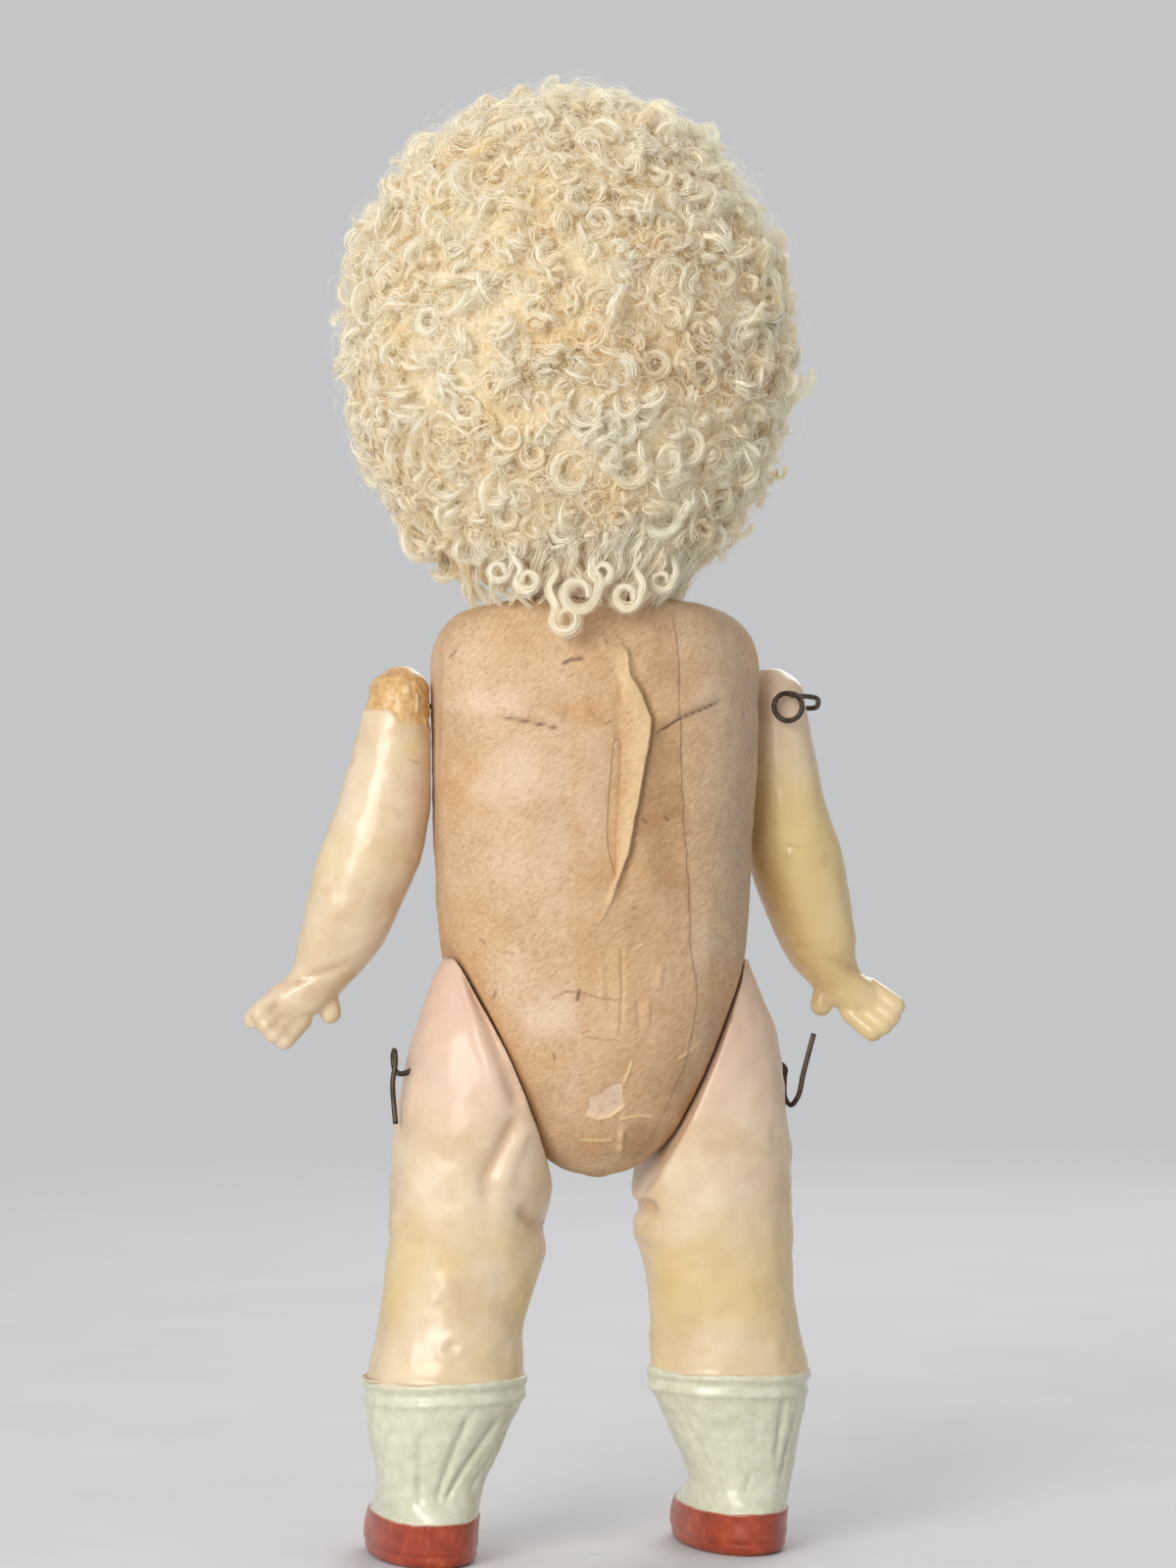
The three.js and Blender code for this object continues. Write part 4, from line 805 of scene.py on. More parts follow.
def back_strip():
    columns = 110
    rows = 430
    share = np.linspace(0, 1, columns)
    heights = np.linspace(STRIP_HEIGHTS[0], STRIP_HEIGHTS[-1], rows)
    z = np.repeat(heights[:, None], columns, 1)
    ragged = np.stack([heights * 0 + 40, heights * 0, heights], -1)
    left = np.interp(heights, STRIP_HEIGHTS, STRIP_LEFT) + 0.12 * lumps(ragged, 2.0, 3, 31)
    right = np.interp(heights, STRIP_HEIGHTS, STRIP_RIGHT) + 0.12 * lumps(ragged, 2.0, 3, 33)
    x = left[:, None] + (right - left)[:, None] * share
    on_card, normal = laid_on_card(x, z, 1)
    lift = 0.16 + card_relief(on_card)
    lift += blade_folds(x, z)[0] * 0.8
    edge, foot, tall = (np.interp(z, FOLD[:, 0], FOLD[:, i]) for i in (1, 2, 3))
    edge = edge + 0.14 * lumps(np.stack([z * 0, z * 0, z], -1), 2.2, 2, 35)
    rise = np.clip((foot - x) / np.maximum(foot - edge, 0.2), 0, 1)
    fall = np.clip((edge - x) / 0.4, 0, 1)
    lift += tall * rise**0.85 * (1 - ease(0, 1, fall))
    brink = np.interp(z, SUNKEN_HEIGHTS, SUNKEN_EDGE)
    sunken = ease(0.12, -0.1, x - brink) * ease(-0.25, 0.1, x - foot)
    sunken *= ease(82.4, 84, z) * ease(101, 98.5, z)
    lift -= 0.32 * sunken
    for crease, height, spread in CRUMPLES:
        away, along = line_distance(x, z, crease)
        lift += height * hump(away, 0, spread) * ease(-0.05, 0.2, along) * ease(1.05, 0.8, along)
    torn = line_distance(x, z, TORN)[0] * np.where(within(x, z, TORN), -1, 1)
    torn = ease(0.12, -0.12, torn + 0.34 * lumps(on_card, 1.3, 3, 37))
    torn = np.clip(torn * (0.75 + 0.25 * lumps(on_card, 0.8, 2, 38)), 0, 1)
    colours = back_colours(on_card)
    lift += 0.2 * colours["cream"] - 0.14 * torn
    width = (left - right)[:, None]
    border = share[None, :] * width
    lift = lift * ease(-0.6, 2.4, border) * ease(-0.2, 0.5, width - border) + 0.02
    # Painted light on the fold: a cream highlight where the flap stands up, painted shade in the sunken band
    # beside it and painted shadow just right of its edge, and a cream highlight along the low ridge near the
    # bottom.
    flap = ease(0.1, 0.6, rise) * (1 - fall) * ease(0.15, 0.5, tall)
    ridge = line_distance(x, z, CRUMPLES[-1][0])[0]
    # a paler band down the low middle ridge of the strip
    pale_ridge_band = 0.35 * hump(x, 1.6, 1.3) * ease(62, 66, z) * ease(77, 73, z)
    shaded = np.maximum(0.75 * sunken, 0.7 * hump(x, edge - 0.7, 0.4) * ease(0.2, 0.6, tall))
    colours["cream"] = np.maximum.reduce([colours["cream"], 0.4 * flap, 0.4 * hump(ridge, 0, 0.45), pale_ridge_band])
    colours["pale"] = np.maximum(colours["pale"] * (1 - flap), torn)
    colours["tan"] = np.maximum(colours["tan"] * (1 - flap), shaded) * (1 - torn)
    colours["warm"] = np.maximum(colours["warm"], 0.22) * (1 - 0.6 * flap) * (1 - torn)
    strip_piece("back", on_card, normal, lift, 1, **colours)


def front_strip():
    columns = 40
    rows = 240
    share = np.linspace(-1, 1, columns)
    z = np.repeat(np.linspace(52, 115.6, rows)[:, None], columns, 1)
    ragged = np.stack([z[:, 0] * 0 + 80, z[:, 0] * 0, z[:, 0]], -1)
    half = 2.6 + 0.16 * lumps(ragged, 2.4, 3, 41)
    x = half[:, None] * share + 0.2 * lumps(ragged, 9, 1, 43)[:, None]
    on_card, normal = laid_on_card(x, z, -1)
    border = (1 - np.abs(share))[None, :] * half[:, None]
    lift = 0.22 + 0.16 * lumps(on_card, 8, 2, 3) + 0.08 * lumps(on_card, 1.6, 2, 5)
    lift = lift * ease(-0.2, 0.5, border) + 0.02
    warm = 0.3 * ease(0.1, 0.9, lumps(on_card, 10, 2, 9))
    strip_piece("front", on_card, normal, lift, -1, line=0 * warm, warm=warm, pale=0 * warm + 0.1)


back_strip()
front_strip()


# Legs, with sock and shoe moulded on: turn is counted in degrees from the way the camera sees them

FACING = 75.0
LEG_ROUND = 9.3
LEG_SIDES = 120
SHOE_ROUND = 6.2


def leg_sections(side):
    rows = [
        (0, 19.6, 11.0, 22.6, -4.2),
        (0.7, 19.6, 12.4, 24.0, -4.2),
        (3.6, 19.6, 12.4, 24.0, -4.2),
        (6.0, 19.6, 12.4, 20.64, -2.52),
        (9.2, 19.6, 12.8, 12.8, 0.4),
        (15.8, 18.8, 16.8, 16.3, 0),
        (20.8, 18.0, 19.6, 18.6, 0),
        (22.4, 18.0, 19.6, 18.6, 0),
        (22.95, 18.0, 19.15, 18.15, 0),
        (30.0, 16.7, 18.6, 17.4, 0),
        (38.0, 15.95, 19.0, 17.6, 0),
        (46.4, 15.2, 20.0, 19.2, 0),
        (55.1, 14.2, 20.0, 19.2, 0),
        (63.8, 12.6, 20.0, 17.28, 0),
        (72.0, 15.8, 7.6, 9.0, 0),
        (73.0, 16.1, 3.6, 4.2, 0),
        (73.3, 16.15, 1.2, 1.4, 0),
    ]
    return [(x + side * 1.4 * (1 - z / HIP[2]), y, z, width, depth) for z, x, width, depth, y in rows]


def furrow(turn, z, line, spread):
    """A groove along a line of (turn in degrees from the camera, height)."""
    scaled = [(math.radians(a) * LEG_ROUND, height) for a, height in line]
    away, along = line_distance(np.radians(turn) * LEG_ROUND, z, scaled)
    return hump(away, 0, spread) * ease(-0.05, 0.15, along) * ease(1.05, 0.85, along)


LEFT_FOLDS = [
    ([(-20, 71.5), (-14, 68.5), (-6, 63.0), (8, 58.2), (20, 55.4)], -0.55, 0.8),
    ([(-10, 71.0), (-3, 67.4), (5, 62.6), (18, 58.2), (29, 55.4)], 0.65, 0.65),
    ([(28, 54.8), (20, 50.8), (12, 47.3), (15, 43.6)], 0.55, 0.8),
    ([(36, 53.0), (27, 49.0), (22, 45.5)], -0.35, 0.9),
    ([(100, 40.4), (80, 40.6), (56, 41.4), (36, 43.4)], 0.75, 0.9),
    ([(24, 19.0), (10, 7.6)], 0.6, 0.45),
    ([(52, 18.0), (19, 7.6)], 0.6, 0.55),
    ([(-11, 16.8), (-9, 8.0)], 0.45, 0.45),
    ([(-30, 17.2), (-27, 8.6)], 0.42, 0.45),
    ([(78, 17.0), (50, 9.0)], 0.35, 0.5),
    ([(130, 18.0), (150, 8.5)], 0.35, 0.5),
    ([(-120, 18.0), (-140, 8.5)], 0.35, 0.5),
]
RIGHT_FOLDS = [
    ([(-104, 42.4), (-84, 42.4), (-60, 42.9), (-44, 42.2)], 1.0, 0.85),
    ([(42, 19.4), (37, 12.0)], 0.55, 0.45),
    ([(58, 17.5), (48, 9.0)], 0.5, 0.5),
    ([(20, 19.6), (16, 14.0)], 0.22, 0.4),
    ([(-45, 18.0), (-30, 9.0)], 0.22, 0.5),
    ([(12, 10.4), (4, 7.6)], 0.25, 0.4),
    ([(130, 18.0), (150, 8.5)], 0.35, 0.5),
    ([(-120, 18.0), (-140, 8.5)], 0.35, 0.5),
]


# By side: the shoe's edge at the heel, its rise at the sides and where it rises in front; the heel
# seam's turn and height; the inner knee's bump and the hollow below it
SHOE_TOPS = {1: (5.35, 0.5, 112), -1: (5.2, 0.15, 130)}
SHOE_SEAMS = {1: (0, 0.3), -1: (8, 0.12)}
INNER_KNEES = {1: [(0.6, 37.4, 1.9), (-0.85, 28.6, 4.2)], -1: [(0.5, 39.0, 2.0), (-0.45, 31.0, 4.0)]}


def limb(kind, side, points, quads, tris, **values):
    """The skin of an arm or leg, from the shape of one on the left."""
    body = f"{NAMES[side]}_{kind}"
    quads = np.asarray(quads).reshape(-1, 4)[:, ::side]
    tris = np.asarray(tris, int).reshape(-1, 3)[:, ::side]
    mesh = mesh_of(f"{body}_skin", points * [side, 1, 1], quads, tris)
    piece(f"{body}_skin", mesh, body, skin_finish, "composition", (body,), **values)


def leg(side):
    stations = leg_sections(side)
    sections = through(stations, np.linspace(0, len(stations) - 1, 320))
    rings = oval(sections, LEG_SIDES, LIMB_POWER)
    normal = ring_normals(rings)
    angle = np.degrees(np.linspace(0, 2 * math.pi, LEG_SIDES, endpoint=False))
    turn = ((angle if side > 0 else 180 - angle) - FACING + 180) % 360 - 180
    turn = np.repeat(turn[None], len(rings), 0)
    around = np.abs(turn)
    z = rings[..., 2]
    seen = rings * [side, 1, 1]
    above_shoe = ease(6, 8, z)
    lines = LEFT_FOLDS if side > 0 else RIGHT_FOLDS
    folds = sum(depth * furrow(turn, z, line, spread) for line, depth, spread in lines)
    sock_top = 22.2 + 0.35 * np.sin(np.radians(turn + (20 if side > 0 else 160)))
    sock_top = sock_top + 0.12 * lumps(seen, 3, 2, 51)
    ridges = 0.2 * hump(z, sock_top - 0.3, 0.4) + 0.26 * hump(z, sock_top - 2.4, 0.42)
    ridges -= 0.2 * hump(z, sock_top - 1.3, 0.45)
    relief = (0.3 * lumps(seen, 7, 2, 61 + side) + 0.16 * lumps(seen, 2.6, 2, 63)) * ease(4, 9, z)
    relief = relief - folds + ridges * above_shoe
    if side > 0:
        dimple = np.hypot(np.radians(turn - 3) * LEG_ROUND, z - 26.8)
        relief -= 0.5 * hump(dimple, 0, 0.55) - 0.22 * hump(dimple, 1.2, 0.5)
    for height, middle, spread in INNER_KNEES[side]:
        relief += height * hump(turn, 92 * side, 38) * hump(z, middle, spread)
    relief -= 0.12 * hump(z, 1.5, 0.3)
    heel, rise, front = SHOE_TOPS[side]
    shoe_top = heel + rise * ease(20, 80, around) + 1.9 * ease(front, 180, around)
    shoe_top = shoe_top + 0.1 * lumps(seen, 2.2, 2, 71)
    shoe = ease(0.12, -0.12, z - shoe_top)
    relief += 0.3 * shoe * ease(0, 2.5, z)
    seam, height = SHOE_SEAMS[side]
    relief += height * hump(np.radians(turn - seam) * SHOE_ROUND, 0, 0.24) * shoe
    rings = rings + normal * relief[..., None]
    rings[..., 2] = np.maximum(rings[..., 2], 0)
    inside = HIP_GAP - (rings - HIP) @ HIP_NORMAL
    on_flat = ease(-0.3, 0.1, inside)
    rings = rings + np.maximum(0, inside)[..., None] * HIP_NORMAL
    sock = ease(0.1, -0.1, z - sock_top)
    pink = 0.75 * ease(46, 62, z) + 0.5 * ease(0.1, 0.8, lumps(seen, 9, 2, 81)) * ease(40, 50, z)
    yellow = 0.75 * hump(z, 33, 9) * ease(-0.4, 0.7, lumps(seen, 8, 2, 83)) + 0.3 * hump(z, 24, 2)
    yellow = np.clip(yellow, 0, 1) * (1 - sock)
    yellow = np.maximum(yellow, 0.25 * sock * ease(0.1, 0.8, lumps(seen, 5, 2, 87)))
    # line: painted shade in the grooves of the folds, on the flat top in the hip and between the sock's
    # ridges
    line = 0.55 * np.maximum(folds, 0) * (1 - 0.55 * sock)
    line = np.clip(line + 0.3 * on_flat * ease(0, 0.6, lumps(seen, 5, 2, 85)), 0, 0.7)
    line = np.maximum(line, 0.25 * hump(z, sock_top - 1.3, 0.35) * above_shoe)
    matt = 0.2 + 0.25 * ease(0.1, 0.9, lumps(seen, 9, 2, 89)) + 0.3 * ease(42, 52, z)
    limb(
        "leg",
        side,
        *loft(rings),
        sock=ringed(sock * (1 - shoe)),
        shoe=ringed(shoe),
        pink=ringed(np.clip(pink, 0, 1) * (1 - sock)),
        yellow=ringed(yellow),
        line=ringed(line),
        matt=ringed(matt),
        bare=0,
    )


for side in NAMES:
    leg(side)


# Arms, drawn from the shoulder joint with x outwards

ARM_GAP = 0.3
HAND_TURN = math.radians(31)
ARM_LEANS = {1: 14, -1: 13}
ARM_FULLNESS = {1: 1.0, -1: 0.94}
SCRATCHES = {1: [(3.7, -6.6), (2.4, -7.0)], -1: [(4.4, -17.0), (5.6, -17.3)]}


def capsule(start, end, radius, sides=20):
    start, end = np.array(start, float), np.array(end, float)
    axis = unit(end - start)
    across = unit(np.cross(axis, [0.3, 1, 0.2]))
    other = np.cross(axis, across)
    turn = np.linspace(0, 2 * math.pi, sides, endpoint=False)
    round_way = np.cos(turn)[:, None] * across + np.sin(turn)[:, None] * other
    rings = []
    for tilt in np.radians([-80, -60, -40, -20, 0]):
        rings.append(start + axis * radius * math.sin(tilt) + round_way * radius * math.cos(tilt))
    for tilt in np.radians([0, 20, 40, 60, 80]):
        rings.append(end + axis * radius * math.sin(tilt) + round_way * radius * math.cos(tilt))
    return loft(np.array(rings))


def arm_sections(lean, fullness):
    def row(drop, width, depth, aside=0.0, y=0.0):
        drift = math.tan(math.radians(lean)) * 32 * (max(0, drop) / 32) ** 1.7
        return (4.1 + drift + aside, y, -drop, width * fullness, depth)

    aside = 5.6 * math.tan(HAND_TURN)
    return [
        row(39.2, 4.7, 3.3, aside * 1.35, -2.8),
        row(37.6, 8.84, 5.4, aside, -3.0),
        row(34.8, 9.4, 6.0, aside * 0.5, -3.0),
        row(32.0, 8.8, 8.6, 0, -3.0),
        row(27.5, 10.82, 10.6, 0, -2.1),
        row(18.5, 12.6, 12.6, 0, -1.2),
        row(9.25, 10.6, 11.1, 0, -0.6),
        row(0, 8.2, 9.6, -0.1),
        row(-2.98, 7.05, 7.87, -0.3),
        row(-4.8, 2.79, 3.07, -0.5),
    ]


def arm(side):
    stations = arm_sections(ARM_LEANS[side], ARM_FULLNESS[side])
    sections = through(stations, np.linspace(0, len(stations) - 1, 120))
    rings = oval(sections, 64, LIMB_POWER)
    rings[..., 0] = np.maximum(rings[..., 0], ARM_GAP)
    tip, knuckles, palm, wrist = (np.array(station) for station in stations[:4])
    down = unit(tip[:3] - wrist[:3])
    across = unit(np.array([-down[2], 0, down[0]]))
    finger_way = unit(down + [0, 0.45, 0])
    shells = [loft(rings)]
    for place in (-1.5, -0.5, 0.5, 1.5):
        root = knuckles[:3] + across * place * 1.45 - down * 1.4 + [0, 0.8, 0]
        shells.append(capsule(root, root + finger_way * (4.4 - abs(place) * 0.45), 1.3))
    thumb = palm[:3] - across * palm[3] * 0.26 - down * 1.6
    shells.append(capsule(thumb, thumb - across * 1.7 + down * 1.0, 1.4))
    points, quads, tris = smoothed_union(f"{NAMES[side]}_arm_form", shells, voxel=0.26, passes=7)
    points[:, 0] = np.maximum(points[:, 0], ARM_GAP)
    x, y, z = points.T
    middle = [np.interp(z, sections[:, 2], sections[:, i]) for i in (0, 1)]
    outside = unit(points - np.stack([*middle, z], -1))
    seen = points + [30 * side, 0, 0]
    behind = ease(0, 2, y)
    crease = hump(z + 32.2 + 0.35 * (x - 13), 0, 0.7) * ease(9, 13, x)
    relief = (0.14 * lumps(seen, 6, 2, 91) + 0.1 * lumps(seen, 2.4, 2, 92)) * ease(-40, -32, z)
    relief -= 0.35 * crease
    if side > 0:
        edge = -0.45 - 1.9 * ease(6.4, 4.2, x) + 0.4 * lumps(seen, 1.8, 2, 93)
        flakes = ease(0.1, 0.5, lumps(seen * [2.2, 1.5, 0.6], 1.3, 2, 94)) * ease(4.6, 3.0, x)
        bare = ease(-0.15, 0.15, z - edge) * (1 - 0.85 * flakes * ease(4.4, 2.0, z))
        relief -= 0.22 * bare + 0.2 * bare * np.abs(lumps(seen, 1.4, 2, 95))
        flaked = hump(np.hypot(x - 3.4, z + 5.1), 0, 0.95) * behind
        wrist_ochre = hump(np.hypot((x - 9.0) * 0.7, z + 33.8), 0, 1.5) * ease(-4, -1.5, y)
        bare = np.maximum(bare, 0.55 * wrist_ochre)
        yellow = 0.35 * ease(0, 0.8, lumps(seen, 9, 2, 97)) + 0.9 * flaked + 0.9 * wrist_ochre
        pink = 0.35 * hump(x, 2.5, 3.0) * ease(-4, -12, z)
        matt = 0.12 + 0.3 * bare
    else:
        # Browner along the lower inner edges, which face the body.
        bare = 0.45 * ease(-0.35, -0.85, outside[:, 0]) * ease(-14, -22, z) * ease(-38, -32, z)
        relief += 0.3 * hump(np.hypot(x - 4.6, z + 18.2), 0, 0.45) * behind
        yellow = 0.95 * ease(-1, -12, z) - 0.25 * ease(-30, -38, z) + 0.3 * lumps(seen, 8, 2, 99)
        pink = 0.5 * ease(-8, 0, z)
        matt = 0.42 + 0.1 * lumps(seen, 6, 1, 101)
    scratch = line_distance(x, z, SCRATCHES[side])[0]
    # line: random dark marks and the scratch, and painted shade in the wrist crease
    line = 0.22 * ease(0.55, 0.9, lumps(seen, 3.2, 3, 103)) + 0.3 * crease
    line = np.maximum(line, 0.6 * hump(scratch, 0, 0.14) * behind)
    yellow = np.clip(yellow, 0, 1)
    points = points + outside * relief[:, None]
    points[:, 0] = np.maximum(points[:, 0], ARM_GAP)
    paint = {"pink": pink, "yellow": yellow, "line": line, "matt": matt, "bare": bare, "sock": 0, "shoe": 0}
    limb("arm", side, points + SHOULDER, quads, tris, **paint)


for side in NAMES:
    arm(side)


# Wire hooks of the stringing

WIRE_RADIUS = 0.45
WIRE_SEEN = 0.33
WIRE_GAP = 0.3
HOOK_DEPTH = -9.0
HOOK_RADIUS = 3.0
RIGHT_EYE_RADIUS = 1.7
UP = np.array([0, 0, 1.0])
FRONT = np.array([0, -1.0, 0])

# Outer ends of the leg hooks: place along the joint's axis, distance from it and angle about it
LEG_WIRES = {
    1: [
        (0.2, 0, 0), (0.5, 1.0, 40), (0, 2.4, 20), (-0.2, 3.0, -8),
        (0.5, 2.2, -40), (1.8, 1.7, -100), (2.8, 3.35, -150), (3.6, 5.4, -156),
    ],
    -1: [
        (0.3, 0, 0), (0.9, 1.2, 165), (2.0, 3.4, 172), (2.8, 4.0, -172),
        (2.9, 3.0, -150), (2.4, 1.6, -95), (1.9, 3.35, -30), (1.6, 5.4, -17),
    ],
}


def smooth_path(points, per_span=8):
    """A centripetal curve through the points."""
    points = np.array(points, float)
    points = np.vstack([2 * points[0] - points[1], points, 2 * points[-1] - points[-2]])
    found = []
    for i in range(len(points) - 3):
        four = points[i : i + 4]
        gaps = [max(np.linalg.norm(four[k + 1] - four[k]), 1e-4) ** 0.5 for k in range(3)]
        knots = np.cumsum([0] + gaps)
        at = np.linspace(knots[1], knots[2], per_span, endpoint=i == len(points) - 4)[:, None]
        level = list(four)
        for span in (1, 2):
            level = [
                level[k] + (level[k + 1] - level[k]) * (at - knots[k]) / (knots[k + span] - knots[k])
                for k in range(4 - span)
            ]
        found.append(level[0] + (level[1] - level[0]) * (at - knots[1]) / (knots[2] - knots[1]))
    return np.vstack(found)


def round_wire(points, radius, sides=12):
    """Rings of a round wire along a path, turned as little as possible from one to the next."""
    path = smooth_path(points)
    tangent = unit(np.gradient(path, axis=0))
    across = unit(np.cross(tangent[0], [0.3, 0.5, 0.8]))
    turn = np.linspace(0, 2 * math.pi, sides, endpoint=False)
    rings = []
    for place, way in zip(path, tangent):
        across = unit(across - way * (across @ way))
        other = np.cross(way, across)
        rings.append(place + radius * (np.cos(turn)[:, None] * across + np.sin(turn)[:, None] * other))
    return loft(np.array(rings))


def off_axis(frame_axes, along, radius=0.0, angle=0.0):
    origin, axis, up, front = frame_axes
    turn = math.radians(angle)
    return origin + axis * along + up * radius * math.cos(turn) + front * radius * math.sin(turn)


def hook_ring(axes, start):
    """The hidden end of a hook, from the free end of its ring to the shank."""
    points = []
    for share in np.arange(4) / 4:
        along = HOOK_DEPTH + 1.5 * (1 - share)
        points.append(off_axis(axes, along, HOOK_RADIUS * share**1.5, start - 60 * (1 - share)))
    points += [off_axis(axes, HOOK_DEPTH, HOOK_RADIUS, start + 285 * i / 14) for i in range(15)]
    return points[::-1]


def hook_piece(kind, side, points):
    body = f"{NAMES[side]}_{kind}"
    mesh = mesh_of(f"{body}_wire", *round_wire(points, WIRE_SEEN))
    piece(f"{body}_wire", mesh, body, wire_finish, "wire", (f"{body}_hook",))


def leg_hook(side):
    flip = np.array([side, 1, 1])
    along_thigh = np.array([math.sin(HIP_SLANT), 0, math.cos(HIP_SLANT)])
    axes = [HIP * flip, HIP_NORMAL * flip, along_thigh * flip, FRONT]
    thigh = through(leg_sections(side), np.linspace(10, 14, 200))
    reach = (thigh[:, :3] + thigh[:, 3:4] / 2 * [1, 0, 0]) * flip - axes[0]
    outside = (reach @ axes[1])[np.argmax(reach @ axes[2] >= 0)] + WIRE_RADIUS + WIRE_GAP
    points = hook_ring(axes, -110) + [off_axis(axes, -1), off_axis(axes, outside * 0.55)]
    points += [off_axis(axes, outside + along, radius, angle) for along, radius, angle in LEG_WIRES[side]]
    hook_piece("leg", side, points)


def arm_hook(side):
    axes = [SHOULDER * [side, 1, 1], np.array([side, 0, 0.0]), UP, FRONT]
    points = hook_ring(axes, -155) + [off_axis(axes, -1.5), off_axis(axes, 6.0)]
    if side < 0:
        outside = 8.2 + WIRE_RADIUS + WIRE_GAP
        behind = 4.8 + WIRE_RADIUS + 2 * WIRE_GAP
        for along, share, angle in [(0.3, 0, 0), (0.2, 0.32, -78), (-0.9, 0.78, -75)]:
            points.append(off_axis(axes, outside + along, behind * share, angle))
        for i in range(13):
            turn = math.radians(-30 + 400 * i / 12)
            ring = RIGHT_EYE_RADIUS * (math.cos(turn) * axes[2] - math.sin(turn) * axes[1])
            points.append(off_axis(axes, 3.8, behind, -90) + ring - FRONT * WIRE_RADIUS * 3 * i / 12)
    hook_piece("arm", side, points)


for side in NAMES:
    leg_hook(side)
    arm_hook(side)


# Head: bisque shell with open eyes

def bisque_material():
    finish = Finish("tinted_bisque", Roughness=0.42, Specular_IOR_Level=0.45, Subsurface_Weight=0.12)
    finish.wear(Subsurface_Radius=(1.0, 0.45, 0.25), Subsurface_Scale=1.2 * MM)
    fine = finish.noise(0.7, 4, 0.6)
    tone = finish.ramp(finish.noise(11, 3), (0.3, 240, 208, 184), (0.7, 246, 220, 200))
    specks = finish.span(fine, 0.62, 0.8, 0.0, 0.25)
    tone = finish.coats(tone, (finish.value("blush"), rgb(230, 142, 120)), (specks, rgb(206, 168, 140)))
    return finish.wear(Base_Color=tone, Normal=finish.bump(fine, 0.05, 0.25))


bisque_finish = bisque_material()
CROWN_CUT = 15.5
CROWN_TILT = math.radians(12)
BISQUE_THICK = 2.4
NECK_THICK = 1.8
EYE_GAP = 0.3
eye_centres = {side: np.array([HEAD[0] + side * EYE_SPREAD, EYES[1], EYES[2]]) for side in NAMES}


def dome_directions(sides, rings):
    height = np.linspace(-math.pi / 2 + 0.004, math.pi / 2 - 0.004, rings)[:, None]
    turn = np.linspace(0, 2 * math.pi, sides, endpoint=False)[None]
    flat = np.cos(height)
    return np.stack([flat * np.cos(turn), flat * np.sin(turn), np.sin(height) + 0 * turn], -1)


def mouth_line(x):
    return -13.0 + 0.05 * x**2


def head_points(directions, grow=0.0, features=True):
    """The head's skin, or a plainer form inside it."""
    size = np.repeat(HEAD_SIZE[None], directions[..., 0].size, 0).reshape(directions.shape) + grow
    size[..., 2] = np.where(directions[..., 2] > 0, HEAD_SIZE[2], HEAD_BELOW) + grow
    bare = directions * size
    normal = unit(bare / size**2)
    x, y, z = np.moveaxis(bare, -1, 0)

    def mound(middle_x, middle_z, wide, tall):
        return np.exp(-((x - middle_x) ** 2 / (2 * wide**2) + (z - middle_z) ** 2 / (2 * tall**2)))

    swell = 2.3 * mound(0, -5.6, 2.1, 2.1) + 1.5 * mound(0, -20.4, 4.0, 4.0)
    for s in NAMES:
        swell += 1.3 * mound(s * 10.4, -10.6, 5.4, 5.4)
    if features:
        swell += 0.5 * mound(0, -1.2, 1.1, 3.2)
        for s in NAMES:
            swell += 0.55 * mound(s * 1.7, -6.4, 0.8, 0.8)
            eye_ring = np.hypot(x - s * EYE_SPREAD, z - EYE_RISE)
            swell += 0.5 * hump(eye_ring, EYE_OPENING + 0.7, 0.75) * np.where(z > -2, 1, 0.7)
            swell -= 0.35 * hump(eye_ring, EYE_OPENING + 2.6, 1.3)
        mouth = mouth_line(x)
        swell += 0.75 * mound(0, mouth + 0.9, 2.4, 0.75) + 0.85 * mound(0, mouth - 1.0, 1.9, 0.8)
        swell -= 0.7 * np.exp(-((x / 3.4) ** 4)) * hump(z, mouth, 0.28)
        swell -= 0.35 * mound(0, -10.4, 0.6, 1.0) + 0.4 * mound(0, -16.3, 2.6, 0.9)
    return bare + normal * (swell * ease(0, -4, y))[..., None] + HEAD


def ball(name, centre, radius, sides=48, rings=32):
    return helper(name, *loft(dome_directions(sides, rings) * radius + centre))


